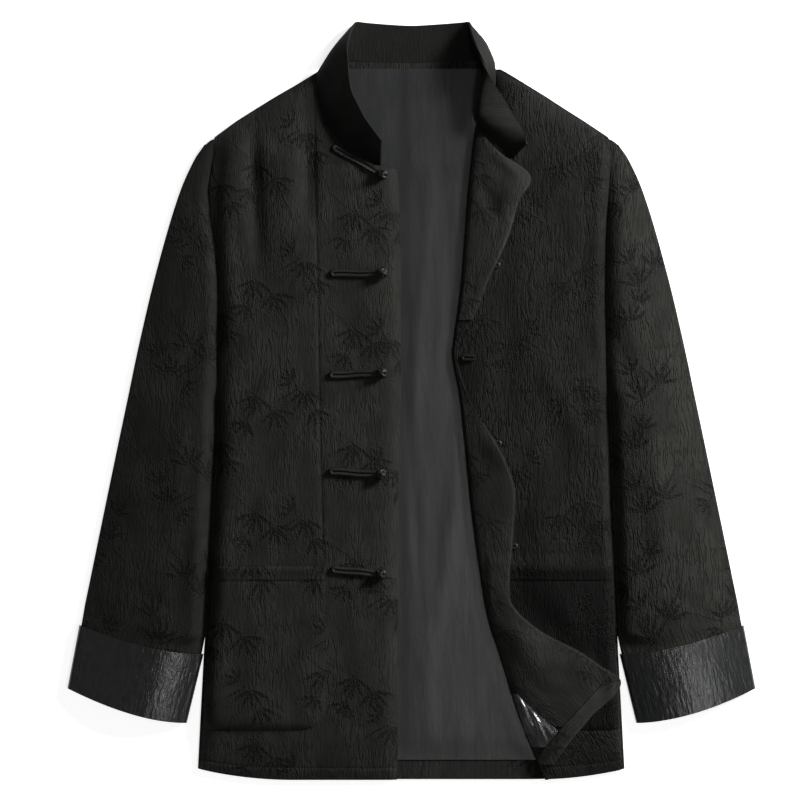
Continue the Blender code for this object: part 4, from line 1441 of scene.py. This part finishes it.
@dataclass(frozen=True)
class Collar:
    """The standing collar: upright at the wearer's right, folded outward over the left lapel.

    Each station gives the seam, the point that the band bulges towards and the top edge.
    """

    wall: float = 2.4
    along_steps: int = 4
    up_steps: int = 14
    stations: tuple[tuple[float, ...], ...] = (
        (-31, 239.5, 7.4, -31, 246, 22, -30, 262.5, 36),
        (-44, 246.0, 7.4, -42, 256, 22, -36, 270.5, 36),
        (-56, 253.0, 7.4, -52, 264, 22, -42, 278.5, 35),
        (-68, 259.5, 7.4, -61, 271, 22, -48, 287.5, 34),
        (-79, 272.5, 7.4, -69, 282, 22, -54, 299.0, 32),
        (-89, 288.0, 7.4, -77, 296, 20, -60, 312.0, 31),
        (-94, 308.0, 7.4, -82, 314, 19, -63, 328.0, 30),
        (-96, 328.0, 7.4, -86, 336, 18, -64, 343.0, 28),
        (-89, 341.5, 5.0, -88, 351, 15, -65, 356.0, 26),
        (-76, 345.5, 2.4, -81, 366, 10, -62, 372.0, 18),
        (-60, 346.0, 1.4, -63, 372, 4, -54, 385.4, 6),
        (-30, 345.0, 1.2, -30, 366, 1.2, -28, 383.5, 1.2),
        (0, 344.5, 1.2, 0, 365, 1.2, 0, 382.0, 1.2),
        (30, 345.0, 1.2, 30, 366, 1.2, 28, 383.5, 1.2),
        (57, 346.0, 1.4, 62, 372, 5, 57, 385.4, 7),
        (73, 345.0, 2.4, 86, 363, 10, 61, 371.0, 20),
        (84, 340.5, 5.0, 85, 348, 17, 66, 355.5, 30),
        (85, 327.0, 7.4, 74, 334, 24, 73, 340.0, 34),
        (84, 315.0, 7.4, 60, 319, 30, 82, 323.0, 26),
        (78, 301.0, 7.4, 54, 304, 32, 92, 308.0, 18),
        (71, 288.0, 8.4, 55, 291, 32, 101, 292.5, 14),
        (68, 281.5, 9.4, 66, 285, 27, 108, 281.5, 15),
        (80, 268.0, 9.9, 84, 276, 24, 113, 272.5, 20),
        (92, 254.5, 10.9, 98, 262, 22, 115.5, 265.5, 26),
        (103, 245.0, 11.9, 109, 252, 22, 116.5, 259.0, 30),
    )

    def grid(self) -> ClothGrid:
        """The band's cloth.

        Returns:
            A row across the band for each step along the neck.
        """
        table = np.array(self.stations, float)
        places = np.linspace(0, len(table) - 1, (len(table) - 1) * self.along_steps + 1)
        columns = [Profile(tuple(enumerate(column.tolist()))).at(places) for column in table.T]
        smooth = np.column_stack(columns)
        seam, bulge, top = (smooth[:, None, i : i + 3] for i in (0, 3, 6))
        t = np.linspace(0.0, 1.0, self.up_steps + 1)[None, :, None]
        points = (1 - t) ** 2 * seam + 2 * t * (1 - t) * bulge + t * t * top
        grid = ClothGrid.across_rows(points[..., 0], points[..., 1], points[..., 2])
        grid.cut = grid.cut[..., ::-1].copy()
        return grid

    def build(self) -> None:
        """Makes and dresses the collar."""
        lay_sheet(self.grid(), "collar", self.wall, PAINTED_SHADE_COLLAR_CREPE, Slot.CREPE, (140, 610))


@dataclass(frozen=True)
class Sleeve:
    """A flattened sleeve and its turned-back satin cuff. sign is -1 for the right one and +1 for the left.

    Each station is the outer edge's x and y and the y at which its row starts on the body. The upper side rolls
    down within gutter and inner_reach of the inner edge and within reach of the outer one, and within
    shoulder_reach beside the shoulder.
    """

    name: str
    sign: float
    body_line: Profile
    creases: tuple[Crease, ...]
    cloth: CrepeJacquard = CREPE
    stations: tuple[tuple[float, float, float], ...] = (
        (211.5, 258, 266), (219.5, 248, 250), (232.0, 223, 214), (241.0, 198, 188), (249.5, 170, 158),
        (257.5, 141, 128), (266.0, 108, 98), (281.0, 42, 38), (288.0, 8, 0), (296.0, -30, -35),
        (312.0, -107, -112), (327.0, -180, -190), (333.5, -212, -238),
    )  # fmt: skip
    cuff_outer: tuple[Place, Place] = ((338.5, -228.5), (350.5, -292.5))
    cuff_inner: tuple[Place, Place] = ((211.6, -258.0), (228.6, -328.0))
    cuff_bend: float = 1.6
    cuff_wall: float = 1.8
    inner_reach: float = 34.0
    reach: float = 75.0
    gutter: float = 13.0
    shoulder_reach: float = 13.0
    shoulder_rows: Place = (20.0, 90.0)
    shoulder_rise: Place = (-30.0, 45.0)
    column_spacing: float = 1.25
    cuff_reach: tuple[float, float, float] = (64.0, 64.0, 64.0)
    crown: float = 16.5
    cuff_crown: float = 19.5
    end_height: float = 3.2
    cuff_rise: float = 2.3
    shoulder_drop: float = 2.0
    end_drop: float = 2.2
    end_shares: tuple[float, ...] = (-0.05, 0.3, 0.63, 0.96)
    step: float = 3.0

    def section(
        self, width: Array, closed: Array, low: Array, edge: Array, crown: Array, reach: Array
    ) -> tuple[Array, Array, Array]:
        """A flattened tube across each row.

        Args:
            width: the rows' widths.
            closed: 1 where the inner edge is a fold, 0 where it is open.
            low: height of the underside.
            edge: height of the upper side at its edges.
            crown: height of the upper side between them.
            reach: how far each row's upper side rolls down to its seam, its inner and its outer edge.

        Returns:
            Share of the width, height, and how far each point belongs to the crown.
        """
        width, closed, low, edge, crown = (np.asarray(a, float)[:, None] for a in (width, closed, low, edge, crown))
        radius, middle = (edge - low) / 2, (edge + low) / 2
        half = radius + PATTERN.wall / 2
        inner = half * np.sin(math.pi / 2 * closed)
        outer = width - half
        tops, rounds, bottoms, folds = 34, 8, 14, 4

        def arc(centre: Array, angle: Array) -> Mesh:
            """A round stretch of the section about a centre, with none of it on the crown."""
            x = centre + radius * np.cos(angle)
            return x, middle + radius * np.sin(angle), np.zeros_like(x)

        quarter = math.pi / 2 * closed
        steps = np.arange(folds + 1)[None, :] / folds
        x = inner + (outer - inner) * (np.arange(1, tops) / tops)[None, :] ** self.column_spacing
        gutter, slope, fall = (reach[:, i : i + 1] for i in range(3))
        share = (rounded(x - inner, gutter) + rounded(x - inner, slope)) / 2 * rounded(outer - x, fall)
        under_x = outer + (inner - outer) * (np.arange(1, bottoms) / bottoms)[None, :]
        parts = (
            arc(inner, math.pi / 2 + quarter * (1 - steps)),
            (x, edge + (crown - edge) * share, share),
            arc(outer, math.pi / 2 - math.pi * (np.arange(rounds + 1) / rounds)[None, :]),
            (under_x, np.broadcast_to(low, under_x.shape), np.zeros_like(under_x)),
            arc(inner, -math.pi / 2 - quarter * steps),
        )
        x, z, upper = (np.concatenate(column, axis=1) for column in zip(*parts))
        return x / width, z, upper

    def lay(
        self,
        inner: Array,
        outer: Array,
        closed: Array,
        low: Array,
        edge: Array,
        crown: Array,
        creased_by: float,
        reach: Array,
    ) -> ClothGrid:
        """Lays a tube between an inner and an outer line of points.

        Args:
            inner: (x, y) of each row's inner end, for the sleeve at +X.
            outer: (x, y) of each row's outer end.
            closed: see section.
            low: see section.
            edge: see section.
            crown: see section.
            creased_by: share of the creases' height that shows.
            reach: see section.

        Returns:
            The tube's cloth.
        """
        width = np.linalg.norm(outer - inner, axis=1)
        share, z, upper = self.section(width, closed, low, edge, crown, reach)
        bent = np.maximum(share, 0.0) ** self.cuff_bend
        x = inner[:, :1] + (outer[:, :1] - inner[:, :1]) * share
        y = inner[:, 1:] + (outer[:, 1:] - inner[:, 1:]) * bent
        slack = 0.7 * ripple(0.3 * x, 0.25 * y, 23.0, 3.0 + self.sign)
        z = z + (creased_by * creased(self.creases, x, y) + slack) * upper
        return ClothGrid.across_rows(self.sign * x, y, z)

    def build(self) -> None:
        """Makes and dresses the sleeve and its cuff."""
        table = np.array(self.stations, float)
        body_x = self.sign * self.body_line.at(table[:, 2]) + PATTERN.armhole_gap / 2
        inner = np.column_stack([body_x, table[:, 2]])
        outer = table[:, :2]
        inset = self.cuff_wall + PATTERN.gap + 0.2
        (a, b), (c, d) = np.array(self.cuff_inner), np.array(self.cuff_outer)
        for share in self.end_shares:
            inner = np.vstack([inner, a + share * (b - a) + [inset, 0.0]])
            outer = np.vstack([outer, c + share * (d - c) - [inset, 0.0]])
        stations = np.arange(len(inner), dtype=float)
        reached = run(inner)
        along = spread(0.0, reached[-1], self.step)
        place = np.interp(along, reached, stations)

        def follow(column: Array) -> Array:
            """The column's value at every row, smooth between stations."""
            return Profile(tuple(zip(stations.tolist(), column.tolist()))).at(place)

        inner_line = np.column_stack([np.interp(place, stations, inner[:, i]) for i in (0, 1)])
        outer_line = np.column_stack([follow(outer[:, i]) for i in (0, 1)])
        in_cuff = ramp(place, len(table) - 1.0, len(table))
        closed = ramp(inner_line[:, 1], PATTERN.armpit_y + 10, PATTERN.armpit_y - 12)
        low = PATTERN.under_z + (self.cuff_wall + PATTERN.gap) * in_cuff
        edge = PATTERN.edge_z + (low + self.end_height - PATTERN.edge_z) * in_cuff
        crown = self.crown - self.shoulder_drop * (1 - closed) - self.end_drop * in_cuff
        crown = PATTERN.edge_z + (crown - PATTERN.edge_z) * ramp(along, *self.shoulder_rise)
        own, cuffed = np.array([self.gutter, self.inner_reach, self.reach]), np.array(self.cuff_reach)
        reach = own + (cuffed - own) * in_cuff[:, None]
        near_shoulder = ramp(inner_line[:, 1], *self.shoulder_rows)[:, None]
        reach[:, :2] += (self.shoulder_reach - reach[:, :2]) * near_shoulder
        grid = self.lay(inner_line, outer_line, closed, low, edge, crown, 1.0, reach)
        shift = (220.0 + 190.0 * self.sign, 80.0)
        lay_sheet(grid, f"{self.name}_sleeve", PATTERN.wall, self.cloth, Slot.CREPE, shift)
        self.build_cuff()

    def build_cuff(self) -> None:
        """Makes and dresses the cuff round the sleeve's end."""
        share = np.linspace(0.0, 1.0, 27)[:, None]
        (a, b), (c, d) = np.array(self.cuff_inner), np.array(self.cuff_outer)
        inner, outer = a + (b - a) * share, c + (d - c) * share
        low = np.full(len(share), self.cuff_wall / 2)
        above_sleeve = PATTERN.under_z + self.end_height + self.cuff_rise
        edge = np.full(len(share), self.cuff_wall + PATTERN.gap + above_sleeve)
        crown = np.full(len(share), self.cuff_crown)
        reach = np.tile(np.array(self.cuff_reach), (len(share), 1))
        grid = self.lay(inner, outer, np.ones(len(share)), low, edge, crown, 0.3, reach)
        lay_sheet(grid, f"{self.name}_cuff", self.cuff_wall, CUFF_SATIN, Slot.SATIN)


@dataclass(frozen=True)
class Pocket:
    """A patch pocket with a stitched band at its mouth and a rounded lower inner corner."""

    name: str
    sign: float
    height: FrontHeight
    side: Profile
    cloth: CrepeJacquard = CREPE
    fold: Profile | None = None
    top: float = -168.0
    bottom: float = -333.5
    inner: float = 87.0
    corner: float = 24.0
    band: float = 15.0
    wall: float = 1.2
    lift: float = 1.8
    sag: float = 0.0
    fold_clear: float = 17.0

    def inner_edge(self, y: Array) -> Array:
        """x of the edge nearest the middle, with its rounded corner."""
        below = np.clip(self.bottom + self.corner - y, 0.0, self.corner)
        cut = self.corner - np.sqrt(np.maximum(self.corner**2 - below**2, 0.0))
        edge = self.sign * (self.inner + cut)
        return np.maximum(edge, self.fold.at(y) + self.fold_clear) if self.fold else edge

    def outer_edge(self, y: Array) -> Array:
        """x of the edge at the side fold."""
        return self.side.at(y) - self.sign * (PATTERN.wall * 1.5 + 0.8)

    def build(self) -> None:
        """Makes and dresses the pocket."""
        y = spread(self.bottom, self.top, 3.0, [self.top - self.band, self.top - 1.4])
        outer, inner = self.outer_edge(y)[:, None], self.inner_edge(y)[:, None]
        x = outer + (inner - outer) * np.linspace(0.0, 1.0, 45)[None, :]
        rows = rows_over(y, x)
        from_mouth, from_bottom, from_band = rows - self.top, rows - self.bottom, rows - self.top + self.band
        inside = np.abs(x - inner) * np.abs(x - outer) / np.maximum(np.abs(inner - outer), 1.0)
        puff = 1.2 * rise(inside, 8.0) * rise(from_bottom, 10.0)
        puff += self.sag * rise(from_bottom, 5.0) * np.exp(-from_bottom / 34.0) * rise(inside, 5.0)
        gape = 1.5 * ramp(from_mouth, -11.0, -3.0) - 1.9 * ramp(from_mouth, -2.2, 0.0)
        mouth = 0.9 * ramp(from_band, -1.0, 1.5) + gape * rise(inside, 8.0)
        z = self.height.at(x, rows) + self.lift + puff + mouth + grooves(from_band, 0.6)
        grid = ClothGrid.across_rows(x, PATTERN.bend(x, rows), z)
        grid.cut = np.stack([x, rows], axis=-1)
        lay_sheet(grid, f"{self.name}_pocket", self.wall, self.cloth, Slot.CREPE, (333.0, 12.0))


@dataclass(frozen=True)
class Stitching:
    """Rows of straight stitches, sunk a little into the cloth."""

    pitch: float = 3.1
    length: float = 2.3
    radius: float = 0.3
    hem_runs: tuple[tuple[FrontHeight, Place], ...] = (
        (RIGHT_HEIGHT, (-207.0, -18.0)),
        (LEFT_HEIGHT, (140.0, 207.0)),
    )
    seam_run: Place = (-160.0, 258.0)

    def row(self, x: Array, y: Array, z: Array) -> list[Mesh]:
        """Stitches along a line of points.

        Args:
            x: across the table.
            y: along the table.
            z: height of the cloth's face.

        Returns:
            The parts of their mesh.
        """
        line = np.column_stack(np.broadcast_arrays(x, y, z)).astype(float)
        reached = run(line)
        parts = []
        for start in np.arange(0.0, reached[-1] - self.length, self.pitch):
            at = start + self.length * np.array([0.0, 0.18, 0.5, 0.82, 1.0])
            path = np.column_stack([np.interp(at, reached, line[:, i]) for i in range(3)])
            path[:, 2] += np.array([-0.35, 0.0, 0.1, 0.0, -0.35])
            parts.append(tube(path, self.radius * np.array([0.5, 1.0, 1.1, 1.0, 0.5]), 5))
        return parts

    def build(self) -> None:
        """Makes and dresses all rows of stitches as one piece."""
        face = PATTERN.wall / 2
        parts = []
        for height, ends in self.hem_runs:
            x = np.linspace(*ends, 60)
            rows = np.full_like(x, PATTERN.hem_line)
            parts += self.row(x, PATTERN.bend(x, rows), height.at(x, rows) + face - 0.6)
        seam = RightFront().seam_line
        y = np.linspace(*self.seam_run, 120)
        parts += self.row(seam.at(y), y, RIGHT_HEIGHT.at(seam.at(y), y) + face - 0.55)
        for pocket in POCKETS:
            y = np.linspace(pocket.bottom + 2.0, pocket.top - 2.0, 60)
            x = pocket.inner_edge(y) + pocket.sign * 2.0
            top = pocket.lift + pocket.wall / 2
            parts += self.row(x, y, pocket.height.at(x, y) + top + 0.15)
            band = pocket.top - pocket.band
            x = np.linspace(float(pocket.inner_edge(band)), float(pocket.outer_edge(band)), 60)[1:-1]
            rows = np.full_like(x, band)
            inside = np.minimum(np.abs(x - x[0]), np.abs(x - x[-1]))
            parts += self.row(x, rows, pocket.height.at(x, rows) + top - 0.35 + 0.9 * rise(inside, 8.0))
        dress(joined("stitching", parts), THREAD, Slot.CORD)


POCKETS = (
    Pocket("right", -1.0, RIGHT_HEIGHT, PATTERN.right_side, sag=5.0),
    Pocket("left", 1.0, LEFT_HEIGHT, PATTERN.left_side, PAINTED_SHADE_POCKET_CREPE, PATTERN.left_fold),
)
SLEEVES = (
    Sleeve(
        "right",
        -1.0,
        PATTERN.right_side,
        (
            Crease(246, 120, 97, 170, 9, 2.0, -4),
            Crease(225, 60, 112, 130, 9, -2.2, 5),
            Crease(262, 10, 104, 150, 10, 1.8, -5),
            Crease(285, -60, 150, 70, 9, -1.8, 3),
            Crease(240, -60, 96, 170, 10, 2.0, 4),
            Crease(285, -150, 108, 130, 11, 1.6, -4),
            Crease(235, -170, 98, 110, 9, -1.7, 3),
            Crease(262, -205, 30, 70, 8, -1.2, 3),
        ),
        PAINTED_SHADE_SLEEVE_CREPE,
        inner_reach=13.0,
        reach=100.0,
        cuff_reach=(42.0, 42.0, 82.0),
    ),
    Sleeve(
        "left",
        1.0,
        PATTERN.left_side,
        (
            Crease(240, 130, 100, 170, 10, 1.9, -4),
            Crease(222, 40, 108, 140, 9, -2.3, 5),
            Crease(268, 30, 99, 160, 11, 1.7, 4),
            Crease(280, -70, 38, 70, 9, -1.6, 3),
            Crease(245, -80, 94, 180, 10, 2.0, -4),
            Crease(296, -140, 104, 120, 10, 1.7, 3),
            Crease(240, -180, 84, 100, 9, -1.8, 3),
            Crease(280, -200, 150, 70, 8, -1.2, 3),
        ),
        LOOSE_CREPE,
        inner_reach=54.0,
        shoulder_reach=20.0,
        crown=19.0,
    ),
)


# ---------------------------------------------------------------- studio


@dataclass(frozen=True)
class SoftLamp:
    """A square soft lamp aimed at the jacket's middle: place in metres, side and power."""

    name: str
    place: tuple[float, float, float]
    side: float
    power: float


@dataclass(frozen=True)
class Studio:
    """A pale lit table, soft lamps and the camera straight above."""

    floor_side: float = 8.0
    floor_glow: float = 0.78
    sky: float = 0.08
    view_width: float = 0.816
    camera_height: float = 3.0
    camera_x: float = -0.0117
    camera_y: float = 0.0005
    sensor: float = 36.0
    lamps: tuple[SoftLamp, ...] = (
        SoftLamp("key", (2.0, 1.25, 1.12), 0.65, 122.0),
        SoftLamp("gloss", (0.8, -0.55, 2.5), 0.5, 9.5),
        SoftLamp("fill", (-1.6, 0.2, 2.2), 1.6, 1.5),
    )

    def build(self) -> None:
        """Makes the floor, light and camera."""
        bpy.ops.object.select_all(action="DESELECT")
        bpy.ops.mesh.primitive_plane_add(size=self.floor_side, location=(0.0, 0.0, -0.0006))
        floor = bpy.context.object
        floor.name = "floor"
        material = bpy.data.materials.new("pale_light_table")
        material.use_nodes = True
        white = (1.0, 1.0, 1.0, 1.0)
        look = {"Base Color": linear("f2f2f2"), "Roughness": 0.9, "Specular IOR Level": 0.1}
        glow = {"Emission Color": white, "Emission Strength": self.floor_glow}
        wire(material.node_tree, material.node_tree.nodes["Principled BSDF"], {**look, **glow})
        floor.data.materials.append(material)
        world = bpy.data.worlds.new("soft_room")
        world.use_nodes = True
        wire(world.node_tree, world.node_tree.nodes["Background"], {"Color": white, "Strength": self.sky})
        bpy.context.scene.world = world
        for lamp in self.lamps:
            light = bpy.data.lights.new(lamp.name, "AREA")
            light.size = lamp.side
            light.energy = lamp.power
            stand = add_object(lamp.name, light)
            stand.location = lamp.place
            stand.rotation_euler = (-Vector(lamp.place)).to_track_quat("-Z", "Y").to_euler()
        view = bpy.data.cameras.new("above")
        view.sensor_width = self.sensor
        view.lens = self.sensor * self.camera_height / self.view_width
        camera = add_object("above", view)
        camera.location = (self.camera_x, self.camera_y, self.camera_height)
        bpy.context.scene.camera = camera
        bpy.context.scene.view_settings.view_transform = "Standard"


def main() -> None:
    """Builds the jacket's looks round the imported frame."""
    logging.basicConfig(level=logging.INFO, format="%(name)s: %(message)s")
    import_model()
    Studio().build()
    BackPanel().build()
    RightFront().build()
    LEFT_FRONT.build()
    Collar().build()
    for sleeve in SLEEVES:
        sleeve.build()
    for pocket in POCKETS:
        pocket.build()
    FROGS.build()
    Stitching().build()


if __name__ == "__main__":
    main()
